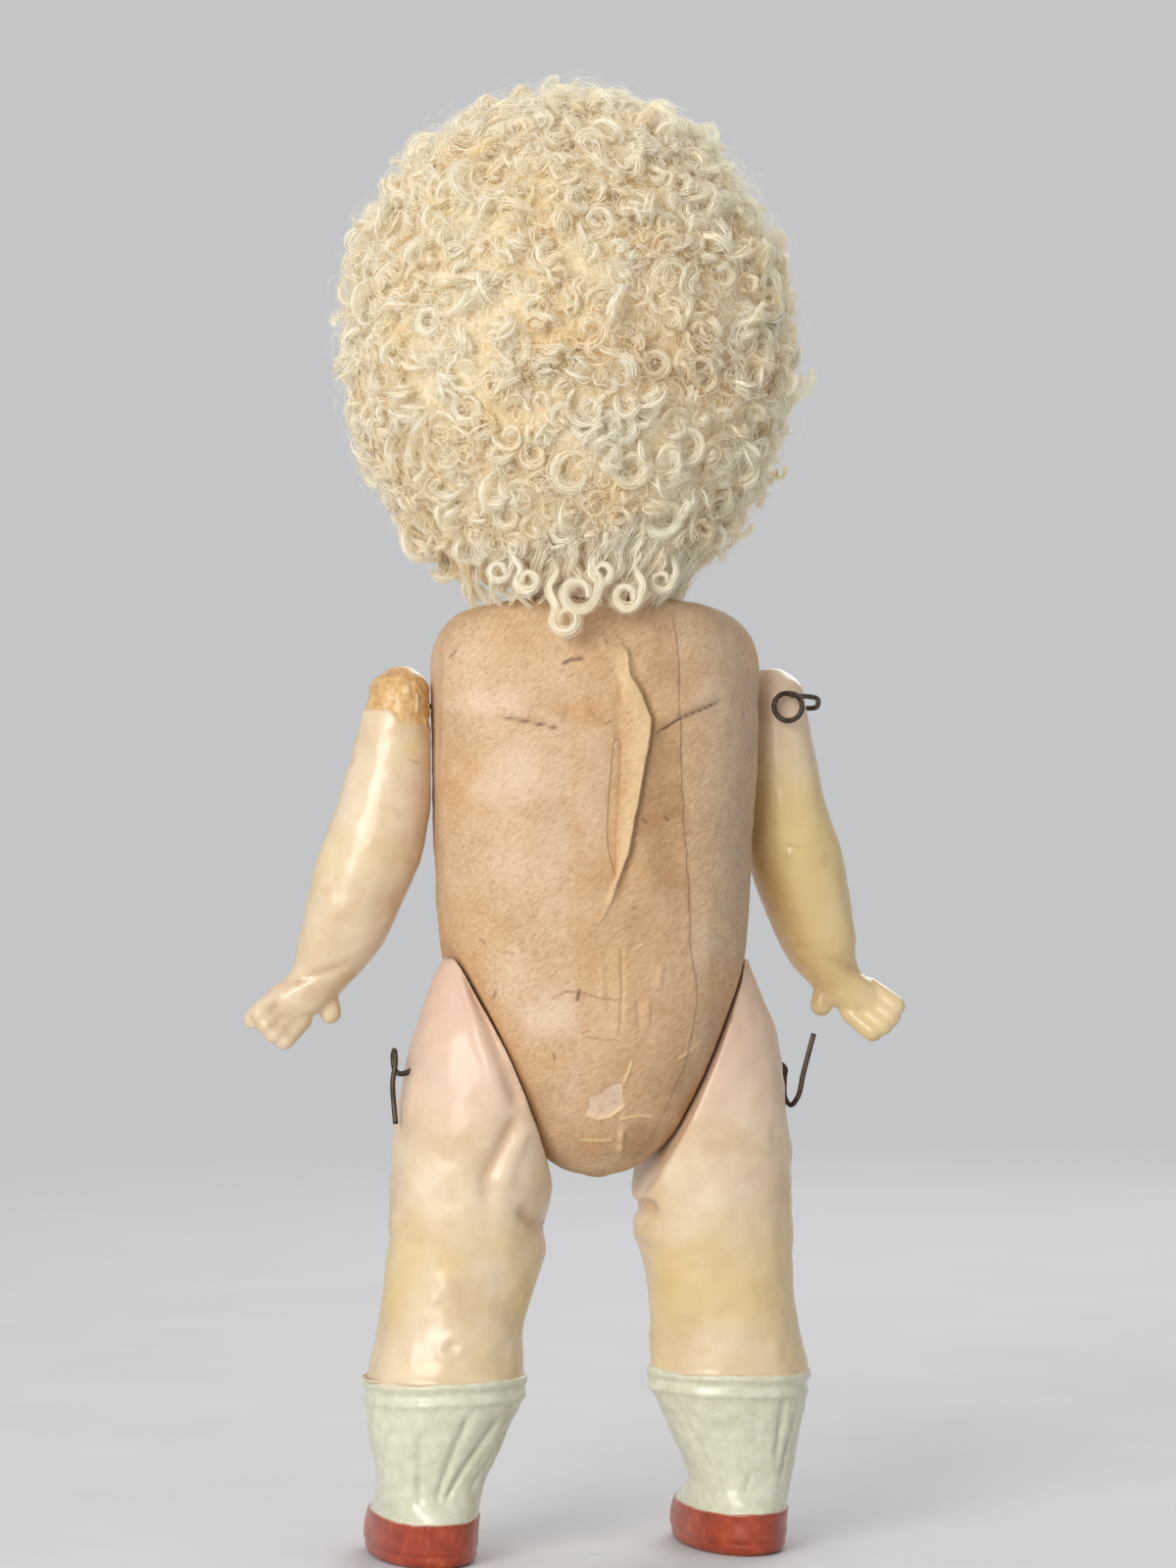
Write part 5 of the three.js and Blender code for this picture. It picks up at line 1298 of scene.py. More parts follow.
def head_shell():
    """The bisque head: a form with a neck, hollowed, with the eyes and the crown cut open."""
    body = helper("head_body", *loft(head_points(dome_directions(220, 170))))
    tools = [
        ball("neck", NECK, NECK_RADIUS, 96, 64),
        helper("hollow", *loft(head_points(dome_directions(48, 36), -BISQUE_THICK, False))),
        ball("neck_hollow", NECK, NECK_RADIUS - NECK_THICK),
    ]
    around = np.linspace(0, 2 * math.pi, 96, endpoint=False)
    rim = np.stack([np.cos(around) * EYE_OPENING, 0 * around, np.sin(around) * EYE_OPENING], -1)
    for i, centre in enumerate(eye_centres.values()):
        tools.append(ball(f"eye_room_{i}", centre, EYE_RADIUS + EYE_GAP, 64, 48))
        rings = np.array([centre + (rim + [0, away, 0]) for away in (0.0, -20.0)])
        tools.append(helper(f"eye_gap_{i}", *loft(rings)))
    corners = ((-60, -60), (60, -60), (60, 60), (-60, 60))
    crown = np.array([[x, y, z] for z in (CROWN_CUT, 60.0) for x, y in corners], float)
    crown[:4, 2] -= crown[:4, 1] * math.tan(CROWN_TILT)
    box_quads = [[0, 3, 2, 1], [4, 5, 6, 7], [0, 1, 5, 4], [1, 2, 6, 5], [2, 3, 7, 6], [3, 0, 4, 7]]
    tools.append(helper("crown", crown + HEAD, box_quads))
    for i, tool in enumerate(tools):
        step = body.modifiers.new(tool.name, "BOOLEAN")
        step.operation = "DIFFERENCE" if i else "UNION"
        step.object = tool
        step.solver = "EXACT"
    points, faces = worked_out(body)
    for used in [body, *tools]:
        bpy.data.objects.remove(used)
    mesh = bpy.data.meshes.new("head_bisque")
    mesh.from_pydata(((points + OFFSET) * MM).tolist(), [], faces)
    mesh.polygons.foreach_set("use_smooth", np.ones(len(faces), bool))
    mesh.set_sharp_from_angle(angle=math.radians(38))
    x, y, z = (points - HEAD).T
    blush = 0.18 * np.exp(-((x / 3.5) ** 2 + ((z + 20.5) / 3.0) ** 2))
    for s in NAMES:
        blush += 0.5 * np.exp(-(((x - s * 11.4) / 5.2) ** 2 + ((z + 9.6) / 4.4) ** 2))
    blush *= ease(-2, -8, y)
    piece("head_bisque", mesh, "head", bisque_finish, "bisque", ("head_shell",), blush=blush)
    return BVHTree.FromPolygons(points.tolist(), faces)


head_tree = head_shell()


def on_face(x, z, lift):
    """A point on the face, from its place left or right of the nose and above the head's middle."""
    start = Vector((HEAD[0] + x, HEAD[1] - 60, HEAD[2] + z))
    hit, normal = head_tree.ray_cast(start, Vector((0, 1, 0)))[:2]
    return np.array(hit + normal * lift)


def paint_patch(name, low, high, finish, rows=9, lift=0.03):
    """A thin coat of paint between two lines on the face."""
    points = []
    for start, end in zip(np.stack(low, -1), np.stack(high, -1)):
        for part in np.linspace(0, 1, rows):
            place = start + (end - start) * part
            points.append(on_face(*place, lift + 0.05 * math.sin(math.pi * part)))
    mesh = mesh_of(name, np.array(points), grid_faces(len(low[0]), rows))
    piece(name, mesh, "head", finish, "bisque")


def painted(name, low, high, roughness):
    return grained(name, low, high, (0.5, 4, 0.6), (0.04, 0.3), Roughness=roughness)


lip_paint = painted("lip_paint", (176, 56, 48), (200, 82, 70), 0.4)
brow_paint = painted("brow_paint", (120, 78, 44), (154, 106, 66), 0.6)
lash_paint = painted("lash_paint", (58, 38, 28), (84, 56, 40), 0.6)

# Lashes: first and last angle round the eye, number, reach of root and tip, half width and lean
LASHES = {"lash": (28, 152, 15, 5.6, 7.0, 0.13, 0.06), "low_lash": (212, 328, 11, 5.5, 6.5, 0.11, 0)}


def lips():
    half = 3.1
    x = np.linspace(-half, half, 41)
    mouth = mouth_line(x)
    upper = 1.25 * (1 - (x / half) ** 2) ** 0.7 * (1 - 0.3 * hump(x, 0, 0.55))
    lower = 1.55 * np.clip(1 - (x / 2.6) ** 2, 0, 1) ** 0.8
    paint_patch("upper_lip", (x, mouth + 0.1), (x, mouth + 0.1 + upper), lip_paint)
    paint_patch("lower_lip", (x, mouth - 0.12 - lower), (x, mouth - 0.12), lip_paint)


def brow(side):
    along = np.linspace(0, 1, 40)
    x = side * (3.6 + 9.6 * along)
    z = 8.0 + 2.3 * np.sin(math.pi * along * 0.82) - 0.7 * along
    thick = 0.5 * np.sin(math.pi * np.clip(along, 0.03, 0.97)) ** 0.55
    paint_patch(f"{NAMES[side]}_brow", (x, z - thick), (x, z + thick), brow_paint, 5)


def lashes(side):
    eye = np.array([side * EYE_SPREAD, EYE_RISE])
    part = np.linspace(0, 1, 5)[:, None]
    for kind, (first, last, count, inner, outer, half, lean) in LASHES.items():
        for i, tilt in enumerate(np.radians(np.linspace(first, last, count))):
            root = eye + [inner * math.cos(tilt), inner * math.sin(tilt)]
            tip = eye + [outer * math.cos(tilt + lean * side), outer * math.sin(tilt)]
            middle = root + (tip - root) * part
            taper = np.array([-math.sin(tilt), math.cos(tilt)]) * half * (1 - 0.85 * part)
            label = f"{NAMES[side]}_{kind}_{i}"
            paint_patch(label, (middle - taper).T, (middle + taper).T, lash_paint, 3, 0.02)


lips()
for side in NAMES:
    brow(side)
    lashes(side)


# Glass eyes that glance aside

GLANCE = math.radians(24)
IRIS_SPAN = 60.0


def eye_material():
    finish = Finish("glass_eye", Roughness=0.06, Coat_Weight=0.6, Coat_Roughness=0.03)
    tone = finish.ramp(
        finish.value("ring"),
        (0.0, 10, 9, 9),
        (0.235, 12, 10, 9),
        (0.25, 74, 46, 26),
        (0.38, 128, 84, 46),
        (0.50, 96, 60, 34),
        (0.545, 38, 24, 16),
        (0.575, 236, 234, 228),
        (1.0, 240, 239, 234),
    )
    lid = finish.ramp(finish.noise(1.5, 4), (0.3, 236, 200, 176), (0.7, 242, 212, 190))
    tone = finish.coats(
        tone,
        (finish.value("streak"), rgb(186, 136, 80)),
        (finish.value("lid"), lid),
        (finish.value("lid_line"), rgb(92, 60, 44)),
    )
    return finish.wear(Base_Color=tone)


eye_finish = eye_material()


def glass_eye(side):
    sides, rings = 128, 120
    away = np.linspace(0.004, math.pi - 0.004, rings)[:, None]
    turn = np.linspace(0, 2 * math.pi, sides, endpoint=False)[None]
    gaze = unit(np.array([math.sin(GLANCE), -math.cos(GLANCE), 0.06]))
    across = unit(np.cross(gaze, [0, 0, 1]))
    upward = np.cross(across, gaze)
    direction = (
        np.cos(away)[..., None] * gaze
        + (np.sin(away) * np.cos(turn))[..., None] * across
        + (np.sin(away) * np.sin(turn))[..., None] * upward
    )
    points, quads, tris = loft(direction * EYE_RADIUS + eye_centres[side])
    ring = np.clip(np.repeat(np.degrees(away) / IRIS_SPAN, sides, 1), 0, 1)
    spokes = np.abs(np.sin(turn * 17 + 0.7 * np.sin(turn * 5)) * np.sin(turn * 9 + 1.0))
    forward = np.degrees(np.arctan2(direction[..., 2], -direction[..., 1]))
    values = {
        "ring": ring,
        "streak": spokes * hump(ring, 0.39, 0.1) * 0.75,
        "lid": ease(30.5, 31.5, forward) * ease(178, 176, forward),
        "lid_line": ease(28.6, 29.4, forward) * ease(33.0, 32.0, forward),
    }
    values = {key: ringed(value) for key, value in values.items()}
    name = f"{NAMES[side]}_glass_eye"
    mesh = mesh_of(name, points, quads[:, ::-1], tris[:, ::-1])
    piece(name, mesh, "eyes", eye_finish, "glass", (f"{NAMES[side]}_eye",), **values)


for side in NAMES:
    glass_eye(side)


# Wig: a felted fleece under locks of single hairs

def fleece_material(name, translucent, tones, fuzz, **settings):
    finish = Finish(name, Sheen_Weight=0.3, Sheen_Roughness=0.4, **settings)
    cloud = finish.span(finish.noise(7, 3), 0.3, 0.7, -0.2, 0.2)
    tone = finish.ramp(finish.math("ADD", finish.value("shade"), cloud), *tones)
    finish.show(translucent, finish.shader, finish.add("ShaderNodeBsdfTranslucent", {"Color": tone}))
    fibres = finish.noise(0.3, 4, 0.65, (1, 1, 1), 1.5)
    return finish.wear(Base_Color=tone, Normal=finish.bump(fibres, 0.2, fuzz))


# Tones by the shade value: the low tan ones paint the shade deep between the locks, the high pale ones the
# lit outer hair; the felt's tones are darker still, as painted shade under the locks.
FLEECE_TONES = [
    (0.0, 216, 170, 108),
    (0.22, 243, 214, 164),
    (0.45, 253, 236, 198),
    (0.7, 255, 245, 218),
    (1.0, 255, 251, 236),
]
FELT_TONES = [(0.0, 204, 168, 116), (0.3, 232, 206, 160), (0.6, 246, 230, 194), (1.0, 252, 244, 222)]
felt_finish = fleece_material("felted_fleece", 0.1, FELT_TONES, 0.7, Roughness=0.8, Specular_IOR_Level=0.15)
hair_finish = fleece_material("curly_fleece", 0.42, FLEECE_TONES, 0.12, Roughness=0.3, Specular_IOR_Level=0.7)
thread_finish = grained("sewing_thread", (96, 72, 48), (150, 120, 84), (0.4, 3), (0.05, 0.5), Roughness=0.85)
chance = np.random.default_rng(20260)
HAIRLINE_HALF = 17.6
HAIRLINE_TALL = 16.9
HAIR_HALF_WIDTH = 0.05
FELT_INSET = 1.9
FELT_OVER_HEAD = 1.35
COVER_WHORLS = 1550
INNER_WHORLS = 170

# Ringlets that the photo shows: place, radius and thickness
SEEN_RINGLETS = np.array([
    (-1.0, 25.0, 143.6, 1.5, 0.5),
    (8.5, 21.1, 130.8, 2.2, 0.85),
    (7.3, 23.5, 136.3, 1.35, 0.55),
    (3.1, 23.8, 136.2, 1.5, 0.6),
    (-3.9, 17.6, 126.1, 2.1, 0.6),
    (-11.5, 13.7, 127.4, 1.5, 0.85),
    (-17.2, 16.5, 148.9, 1.6, 0.5),
    (-10.4, 21.3, 154.9, 1.6, 0.7),
    (31.1, -5.9, 148.5, 1.2, 0.45),
    (22.6, -5.2, 124.6, 1.1, 0.42),
    (13.3, 20.5, 132.8, 1.35, 0.55),
    (-5.3, 21.6, 134.4, 2.0, 0.6),
    (21.2, 18.6, 154.4, 1.4, 0.5),
    (24.6, 15.8, 148.9, 1.5, 0.55),
    (8.5, 16.7, 124.2, 1.3, 0.5),
    (1.4, 21.9, 131.5, 1.8, 0.7),
    (-0.1, 24.2, 138.7, 1.2, 0.5),
    (20.7, 18.1, 138.7, 1.6, 0.5),
    (-8.1, 22.6, 142.2, 1.3, 0.8),
    (29.2, -4.8, 158.4, 1.3, 0.5),
    (0.3, 3.8, 178.5, 1.5, 0.5),
    (-15.4, 12.2, 164.6, 1.3, 0.5),
    (17.4, 6.7, 121.5, 1.6, 0.5),
    (15.0, 15.0, 125.8, 1.3, 0.45),
    (29.9, 4.8, 150.4, 1.2, 0.5),
    (-23.7, 7.4, 146.5, 1.3, 0.45),
])
# Curls at the nape: place of the ring, radius, thickness, length of the lock above, side it hangs from
NAPE_CURLS = np.array([
    (6.3, 15.6, 117.0, 1.9, 0.8, 7.5, 1),
    (7.6, 14.9, 114.0, 1.5, 0.65, 9.5, -1),
    (0.3, 15.2, 116.8, 1.5, 0.7, 6.5, 1),
    (12.0, 13.6, 118.6, 1.2, 0.55, 5.0, -1),
    (-4.6, 13.6, 118.8, 1.1, 0.5, 5.0, 1),
    (3.4, 15.6, 119.6, 1.2, 0.6, 5.5, -1),
    (15.0, 11.2, 119.8, 1.1, 0.45, 4.0, 1),
])


def wig_size(directions):
    size = np.repeat(WIG_SIZE[None], directions[..., 0].size, 0).reshape(directions.shape)
    size[..., 2] = np.where(directions[..., 2] > 0, WIG_SIZE[2], WIG_BELOW)
    return size


def wig_points(directions):
    """Points of the wig's outline, and the way straight out from it there."""
    size = wig_size(directions)
    surface = directions * size
    return surface + WIG, unit(surface / size**2)


def hair_height(points):
    """How far points stand out of the wig's outline, in millimetres, below it if negative."""
    away = points - WIG
    share = np.linalg.norm(away / wig_size(away), axis=-1)
    return (share - 1) * np.linalg.norm(away, axis=-1) / np.maximum(share, 1e-6)


def hair_normal(points):
    away = points - WIG
    return unit(away / wig_size(away) ** 2)


def hair_grows(points, margin):
    """Where there is hair: behind the hairline and above the nape."""
    x = np.abs(points[..., 0] - HEAD[0])
    z = points[..., 2] - EYES[2] - 1
    half = HAIRLINE_HALF + margin
    arch = (x / half) ** 2 + (z / (HAIRLINE_TALL + margin)) ** 2 > 1
    cheek = x > half + np.clip(-10 - z, 0, 12)
    behind = points[..., 1] > -4 + margin
    return (behind | np.where(z > 0, arch, cheek)) & (points[..., 2] > NAPE + margin)


def tangents(normal):
    across = unit(np.cross(normal, unit(chance.normal(size=normal.shape))))
    return across, np.cross(normal, across)


def spread_directions(count):
    step = math.pi * (3 - math.sqrt(5))
    index = np.arange(count)
    height = 1 - (2 * index + 1) / count
    flat = np.sqrt(1 - height**2)
    even = np.stack([flat * np.cos(step * index), flat * np.sin(step * index), height], -1)
    return unit(even + chance.normal(0, 0.6 * math.sqrt(4 / count), even.shape))


def felt_height(points):
    """Height of the felt over the wig's outline: soft lumps the size of a lock."""
    return -FELT_INSET + 0.35 * lumps(points, 4.0, 2, 111) + 0.85 * lumps(points, 7.5, 1, 115)


def head_size(points):
    """Half sizes of the head, above or below its middle."""
    return np.where(points[:, 2:3] > HEAD[2], HEAD_SIZE, [HEAD_SIZE[0], HEAD_SIZE[1], HEAD_BELOW])


def felt():
    directions = dome_directions(240, 180)
    outline, outward = (part.reshape(-1, 3) for part in wig_points(directions))
    height = felt_height(outline) + 0.16 * lumps(outline, 1.0, 2, 113)
    points = outline + outward * height[:, None]
    share = np.linalg.norm((points - HEAD) / (head_size(points) + FELT_OVER_HEAD), axis=-1)
    points = HEAD + (points - HEAD) * np.maximum(1, 1 / share)[:, None]
    quads = loft(directions)[1]
    quads = quads[hair_grows(points, 0.4)[quads].all(1)]
    # painted shade: the felt is darker where it lies deeper
    shade = 0.4 + 0.26 * ease(-2.8, -0.8, height) + 0.1 * lumps(points, 1.0, 2, 117)
    used, compact = np.unique(quads, return_inverse=True)
    mesh = mesh_of("wig_felt", points[used], compact.reshape(-1, 4))
    piece("wig_felt", mesh, "head", felt_finish, "fleece", ("wig_fleece",), shade=shade[used])


def cross_ways(paths, axis):
    """Two directions square to each path, at each of its points."""
    tangent = unit(np.gradient(paths, axis=1))
    first = unit(np.cross(axis[:, None], tangent))
    return first, np.cross(tangent, first)


def ribbon_mesh(name, paths, way, width):
    """Flat fibres, one along each path."""
    count, steps = paths.shape[:2]
    points = np.stack([paths - way * width[..., None], paths + way * width[..., None]], 2).reshape(-1, 3)
    index = np.arange(count * steps * 2).reshape(count, steps, 2)
    corners = [index[:, :-1, 0], index[:, :-1, 1], index[:, 1:, 1], index[:, 1:, 0]]
    return mesh_of(name, points, np.stack(corners, -1).reshape(-1, 4)), points


def fleece_piece(name, mesh, points, lighter):
    # painted shade and light: hair is darker the deeper it lies under the wig's outline, paler out at the top
    shade = 0.45 + 0.42 * ease(-2.4, 0.2, hair_height(points)) + lighter
    return piece(name, mesh, "head", hair_finish, "fleece", (), shade=np.clip(shade, 0, 1))


def around_path(first, second, angle):
    """Directions about a path, at an angle between the two ways square to it."""
    return first * np.cos(angle)[..., None] + second * np.sin(angle)[..., None]


def locks(name, paths, axis, width, lighter, fibres, frizz, pieces=1):
    """Locks of single hairs, each lock round one path."""
    count, steps = paths.shape[:2]
    share = np.linspace(0, 1, steps)
    waves = np.sin(np.outer([2.2, 5, 9], math.pi * share) + np.array([[1], [0], [2]]))
    first, second = cross_ways(paths, axis)
    made = []
    for part in range(pieces):
        repeat = np.repeat(np.arange(part, count, pieces), fibres)
        total = len(repeat)
        reach = np.sqrt(chance.uniform(0, 1, total)) * chance.uniform(0.8, 1.3, total)
        angle = chance.uniform(0, 2 * math.pi, total)[:, None] + chance.normal(0, 1.0, total)[:, None] * share
        offset = (width[repeat] * reach[:, None])[..., None]
        hair = paths[repeat] + offset * around_path(first[repeat], 0.9 * second[repeat], angle)
        wander = chance.normal(0, frizz, (total, 3, 3)) * [1.0, 0.55, 0.25]
        hair = hair + np.einsum("ijk,kl->ilj", wander, waves)
        way = around_path(first[repeat], second[repeat], angle + 1.57)
        thin = HAIR_HALF_WIDTH * (1 - 0.5 * share[None]) * chance.uniform(0.6, 1.4, total)[:, None]
        label = f"{name}_{part + 1}" if pieces > 1 else name
        mesh, points = ribbon_mesh(label, hair, way, thin)
        tone = np.repeat(lighter[repeat] + chance.normal(0, 0.07, total), steps * 2)
        made.append(fleece_piece(label, mesh, points, tone))
    return made


def swell(steps):
    """How a lock's thickness goes along it: full in the middle, thin where it starts and ends."""
    share = np.linspace(0, 1, steps)
    return (0.6 + 0.4 * ease(0, 0.3, share)) * (1 - 0.6 * ease(0.65, 1, share))


def edge_places():
    """Places along the wig's front edge, over the forehead and down the cheeks."""
    turn = np.linspace(0, math.pi, 60)
    low = np.linspace(0, -16, 26)
    cheek = HAIRLINE_HALF + 1.3 + np.clip(-10 - low, 0, 12)
    x = np.concatenate([np.cos(turn) * (HAIRLINE_HALF + 1.3), cheek, -cheek])
    z = np.concatenate([np.sin(turn) * (HAIRLINE_TALL + 0.5), low, low])
    places = np.stack([HEAD[0] + x, 0 * x, EYES[2] + 1 + z], -1)
    size = wig_size(places - WIG)
    share = (((places - WIG) / size) ** 2)[:, [0, 2]].sum(1)
    places[:, 1] = WIG[1] - WIG_SIZE[1] * np.sqrt(np.maximum(0, 1 - share))
    return places, hair_normal(places)


def inner_places():
    """Places between the jaw and the sides of the wig, which would be open without hair there."""
    places = chance.uniform([-28, -4.6, 120.8], [34, -2.8, 140], (1400, 3))
    clear = np.linalg.norm((places - HEAD) / head_size(places), axis=1) > 1.1
    places = places[clear & (hair_height(places) < -0.8) & (np.abs(places[:, 0]) > 11)][:INNER_WHORLS]
    return places, np.repeat(unit(np.array([[0, -1.0, -0.3]])), len(places), 0)


def curly_cover():
    """Whorls all over the felt, each of three locks that wind about one centre."""
    surface, normal = wig_points(spread_directions(COVER_WHORLS))
    kept = hair_grows(surface - normal * 1.2, 1.1) & (surface[:, 2] > NAPE + 3.4)
    apart = np.linalg.norm(surface[:, None] - SEEN_RINGLETS[None, :, :3], axis=-1)
    kept &= (apart - SEEN_RINGLETS[None, :, 3]).min(1) > 0.6
    places = [(surface[kept], normal[kept]), edge_places(), inner_places()]
    counts = [len(part[0]) for part in places]
    surface, normal = (np.concatenate(part) for part in zip(*places))
    count, steps = len(surface), 12
    share = np.linspace(0, 1, steps)[None, :, None]
    radius = (1.25 + 1.35 * chance.beta(1.4, 2.2, count)) * np.repeat([1.0, 0.7, 1.0], counts)
    across, other = tangents(normal)
    lean = math.radians(88) * chance.beta(0.9, 1.5, count)[:, None]
    axis = unit(normal * np.cos(lean) + across * np.sin(lean))
    across, other = tangents(axis)
    base = np.repeat([0, -FELT_INSET, 0], counts)
    base[: counts[0]] = felt_height(surface[: counts[0]])
    base = base + chance.uniform(-0.2, 1.0, count)
    tone = chance.normal(0, 0.08, count)
    paths, widths, lighter = [], [], []
    for reach, rise in [(1.0, 0.25), (0.62, 0.7), (0.3, 0.75)]:
        around = (radius * reach * chance.uniform(0.85, 1.15, count))[:, None, None]
        start = chance.uniform(0, 2 * math.pi, count)[:, None, None]
        turn = start + chance.uniform(2.2, 4.6, count)[:, None, None] * share
        ring = np.cos(turn) * across[:, None] + np.sin(turn) * other[:, None]
        height = (base + rise + chance.uniform(-0.15, 0.3, count))[:, None, None]
        height = height - 0.8 * (1 - ease(0, 0.25, share))
        paths.append(surface[:, None] + around * (1.15 - 0.35 * share) * ring + height * axis[:, None])
        widths.append((radius * chance.uniform(0.3, 0.46, count))[:, None] * swell(steps))
        lighter.append(tone + chance.normal(0.08, 0.05, count))
    paths, widths, lighter = (np.concatenate(part) for part in (paths, widths, lighter))
    order = chance.permutation(len(paths))
    axes = np.tile(axis, (3, 1))
    lock_values = paths[order], axes[order], widths[order], lighter[order]
    locks("wig_locks", *lock_values, fibres=22, frizz=0.1, pieces=12)


def wound(centre, normal, axis, radius, sweep, pitch, steps):
    """Paths that rise out of the felt and wind in on themselves."""
    across, other = tangents(axis)
    share = np.linspace(0, 1, steps)[None, :, None]
    turn = sweep[:, None, None] * share
    shrink = radius[:, None, None] * (1.2 - 0.5 * share)
    along = pitch[:, None, None] * (share - 0.4)
    dip = 1.2 * (1 - ease(0, 0.28, share)) + 0.4 * ease(0.8, 1, share)
    ring = np.cos(turn) * across[:, None] + np.sin(turn) * other[:, None]
    return centre[:, None] + shrink * ring + along * axis[:, None] - dip * normal[:, None]


def seen_ringlets():
    places, radius, thick = SEEN_RINGLETS[:, :3], SEEN_RINGLETS[:, 3], SEEN_RINGLETS[:, 4]
    count, steps = len(places), 26
    normal = hair_normal(places)
    axis = unit(normal * 0.6 + toward * 0.7)
    height = np.minimum(felt_height(places) + 1.0, 0.2) - 0.4 * hair_height(places)
    centre = places + normal * height[:, None]
    sweep = chance.uniform(6.2, 8.2, count)
    pitch = chance.uniform(0.3, 0.8, count)
    paths = wound(centre, normal, axis, radius, sweep, pitch, steps)
    width = thick[:, None] * 1.25 * swell(steps)
    tones = chance.normal(0.14, 0.04, count)
    locks("wig_ringlets", paths, axis, width, tones, fibres=110, frizz=0.1)


def wisps(name, count, depth, length, curl, stand, half_width, lighter, steps, felted=False):
    """Single hairs that stand out of the fleece and curl their own way."""
    outline, outward = wig_points(unit(chance.normal(size=(count * 2, 3))))
    grows = hair_grows(outline - outward * 1.5, 0.8) & (outline[:, 2] > NAPE + 4)
    outline, outward = outline[grows][:count], outward[grows][:count]
    count = len(outline)
    base = felt_height(outline) if felted else np.zeros(count)
    start = outline + outward * (base - chance.uniform(*depth, count))[:, None]
    across, other = tangents(outward)
    share = np.linspace(0, 1, steps)
    reach = length * chance.uniform(0.5, 1.4, count)
    bend = curl * chance.uniform(0.5, 1.5, count) * np.where(chance.uniform(0, 1, count) < 0.5, -1, 1)
    heading = chance.uniform(0, 2 * math.pi, count)[:, None] + bend[:, None] * share
    rise = stand * chance.uniform(0.0, 1.0, count)
    step = np.cos(heading)[..., None] * across[:, None] + np.sin(heading)[..., None] * other[:, None]
    step = step * (reach / steps)[:, None, None]
    step = step + outward[:, None] * (rise[:, None] * np.cos(2.0 * share) * 1.6 / steps)[..., None]
    paths = start[:, None] + np.cumsum(step, 1)
    tangent = unit(np.gradient(paths, axis=1))
    way = unit(np.cross(tangent, unit(outward[:, None] + chance.normal(0, 0.8, (count, 1, 3)))))
    thin = half_width * (1 - 0.7 * share[None]) * chance.uniform(0.6, 1.3, count)[:, None]
    mesh, points = ribbon_mesh(name, paths, way, thin)
    fleece_piece(name, mesh, points, lighter)


# The seam of the hide under the wig, sewn with dark thread that shows between the locks
WIG_SEAM = np.array([(15.2, 21.5, 141.8), (12.1, 23.0, 143.1), (9.9, 23.7, 143.5), (8.4, 24.3, 145.5)])
STITCHES = 16
THREAD_RADIUS = 0.065


def stitches():
    along = np.linspace(0, len(WIG_SEAM) - 1, STITCHES) + chance.normal(0, 0.12, STITCHES)
    middle = through(WIG_SEAM, np.clip(along, 0, len(WIG_SEAM) - 1))
    normal = hair_normal(middle)
    middle = middle - normal * (hair_height(middle) - chance.uniform(0, 0.6, STITCHES))[:, None]
    middle[:, 2] += chance.normal(0, 0.35, STITCHES)
    seam = unit(np.gradient(middle, axis=0))
    slant = unit(np.cross(normal, seam) + seam * chance.normal(0, 1.6, STITCHES)[:, None])
    share = np.linspace(-1, 1, 7)[None, :, None]
    paths = middle[:, None] + slant[:, None] * share * chance.uniform(0.25, 0.65, STITCHES)[:, None, None]
    paths = paths - normal[:, None] * 0.7 * share**2
    threads = joined([round_wire(path[::2], THREAD_RADIUS, 6) for path in paths])
    piece("wig_stitches", mesh_of("wig_stitches", *threads), "head", thread_finish, "fleece")


felt()
curly_cover()
stitches()
seen_ringlets()
wisps(
    "wig_underhair", 11000, (-0.6, 0.0), length=4.5, curl=5.0, stand=0.8,
    half_width=0.055, lighter=0.05, steps=9, felted=True,
)
wisps(
    "wig_fuzz", 4500, (-0.1, 1.2), length=6.0, curl=5.0, stand=1.6,
    half_width=0.028, lighter=0.1, steps=11,
)
wisps(
    "wig_wisps", 2600, (-0.2, 1.0), length=9.0, curl=7.5, stand=3.4,
    half_width=0.026, lighter=0.15, steps=16,
)


# Curls that hang at the nape; they turn with the head

NAPE_FRINGE = 120
NAPE_MIDDLE = np.array([2.6, -0.2, 126.4])
NAPE_SIZE = np.array([16.4, 17.6, 0])


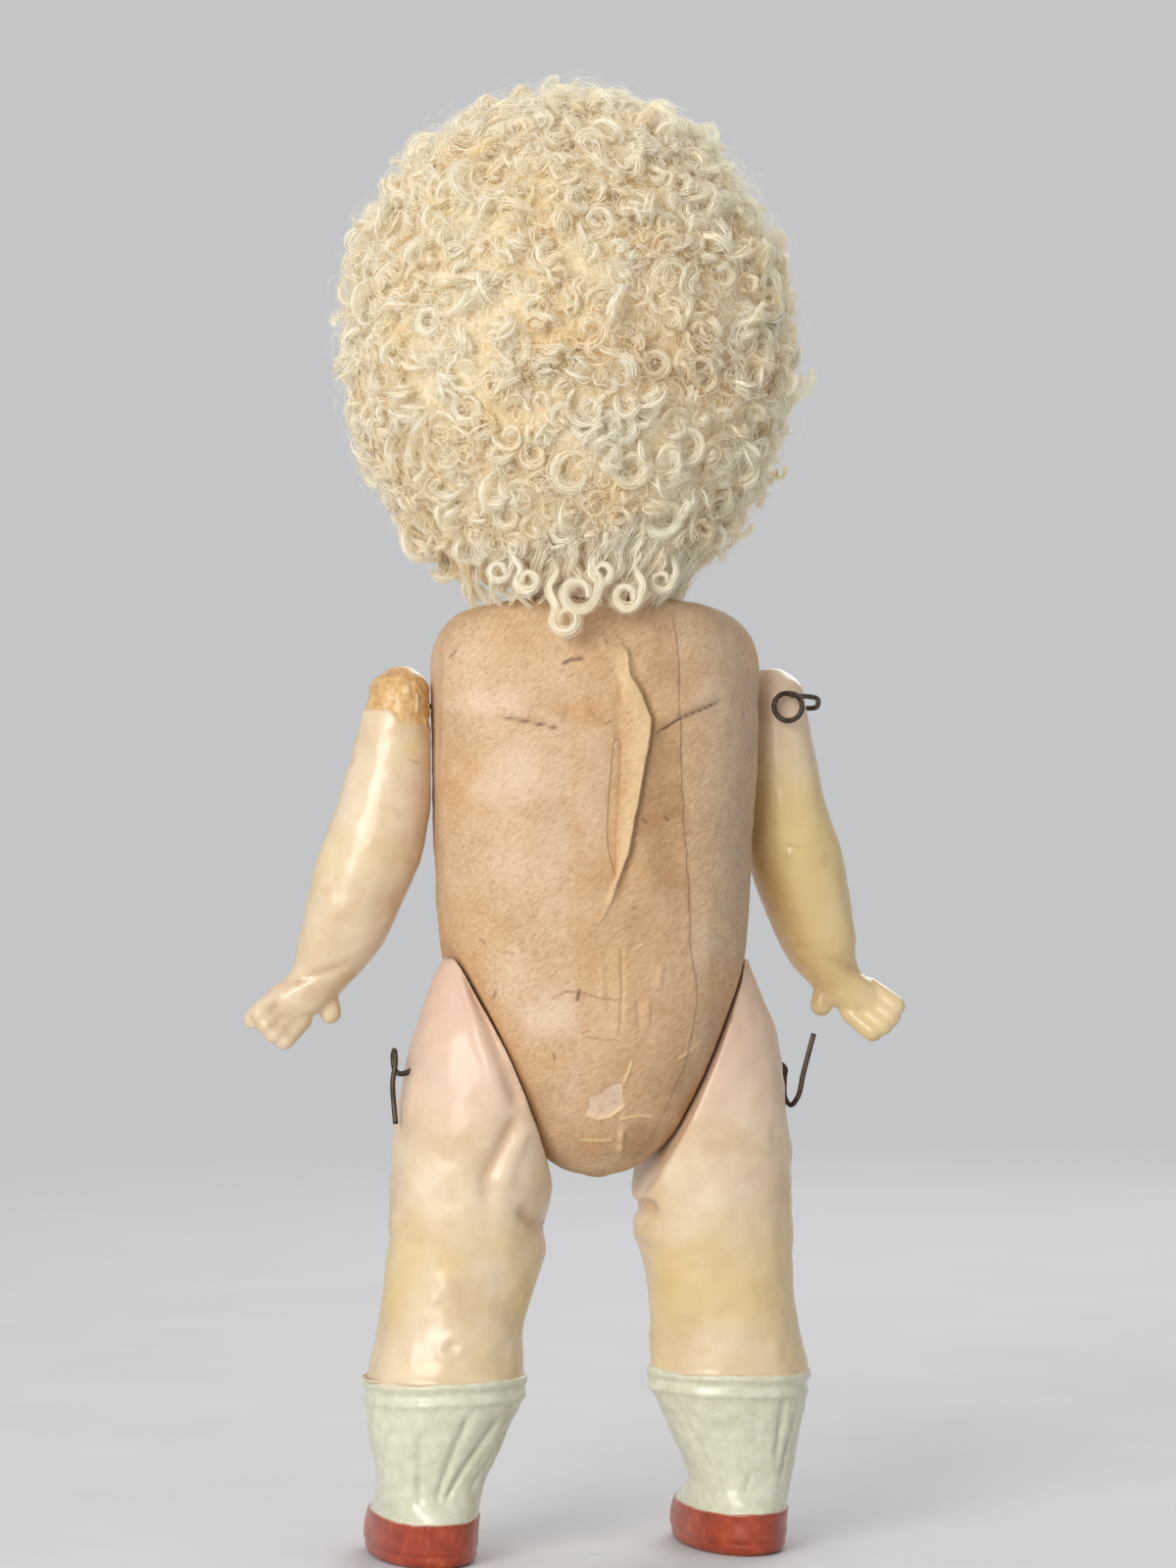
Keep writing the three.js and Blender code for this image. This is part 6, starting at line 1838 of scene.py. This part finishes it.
def hanging_curls():
    """Locks that hang straight and end in a ring."""
    places, radius, thick, drop, side = np.split(NAPE_CURLS, [3, 4, 5, 6], 1)
    share = np.linspace(0, 1, 30)[None]
    lead = 0.4
    ringward = ease(lead, 1, share)
    start = np.where(side > 0, 0, math.pi)
    turn = start - side * 6.6 * np.clip((share - lead) / (1 - lead), 0, 1)
    reach = radius * (1.1 - 0.45 * ringward)
    above = drop * np.clip(1 - share / lead, 0, 1)
    sideways = reach * np.cos(turn) + 0.45 * np.sin(above * 1.3)
    paths = places[:, None] + sideways[..., None] * rightward
    paths = paths + (reach * np.sin(turn) + above)[..., None] * UP
    return paths + (0.5 * ringward - 0.25 * above)[..., None] * toward, thick


def nape():
    """The hanging curls, and short waved locks that fringe the wig's lower edge."""
    paths, thick = hanging_curls()
    axis = np.tile(toward, (len(paths), 1))
    width = thick * swell(paths.shape[1])
    tones = chance.normal(0.1, 0.04, len(paths))
    made = locks("nape_curls", paths, axis, width, tones, fibres=90, frizz=0.13)
    share = np.linspace(0, 1, 20)
    turn = chance.uniform(math.radians(-8), math.radians(158), NAPE_FRINGE)
    outward = np.stack([np.cos(turn), np.sin(turn), 0 * turn], -1)
    sideways = np.cross(outward, [0, 0, 1])
    drop = chance.uniform(7.0, 11.0, NAPE_FRINGE)[:, None]
    phase = chance.uniform(0, 2 * math.pi, NAPE_FRINGE)[:, None]
    phase = phase + chance.uniform(7, 14, NAPE_FRINGE)[:, None] * share
    paths = NAPE_MIDDLE + outward[:, None] * NAPE_SIZE - (drop * share)[..., None] * UP
    paths = paths - outward[:, None] * (4.4 * share**1.3 + 0.8 * np.sin(phase) * share)[..., None]
    paths = paths + sideways[:, None] * (1.1 * np.cos(phase) * share)[..., None]
    width = chance.uniform(0.45, 0.8, NAPE_FRINGE)[:, None] * swell(len(share))
    tones = chance.normal(0.04, 0.07, NAPE_FRINGE)
    return made + locks("nape_fringe", paths, outward, width, tones, fibres=20, frizz=0.2)


for curl in nape():
    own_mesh(curl)
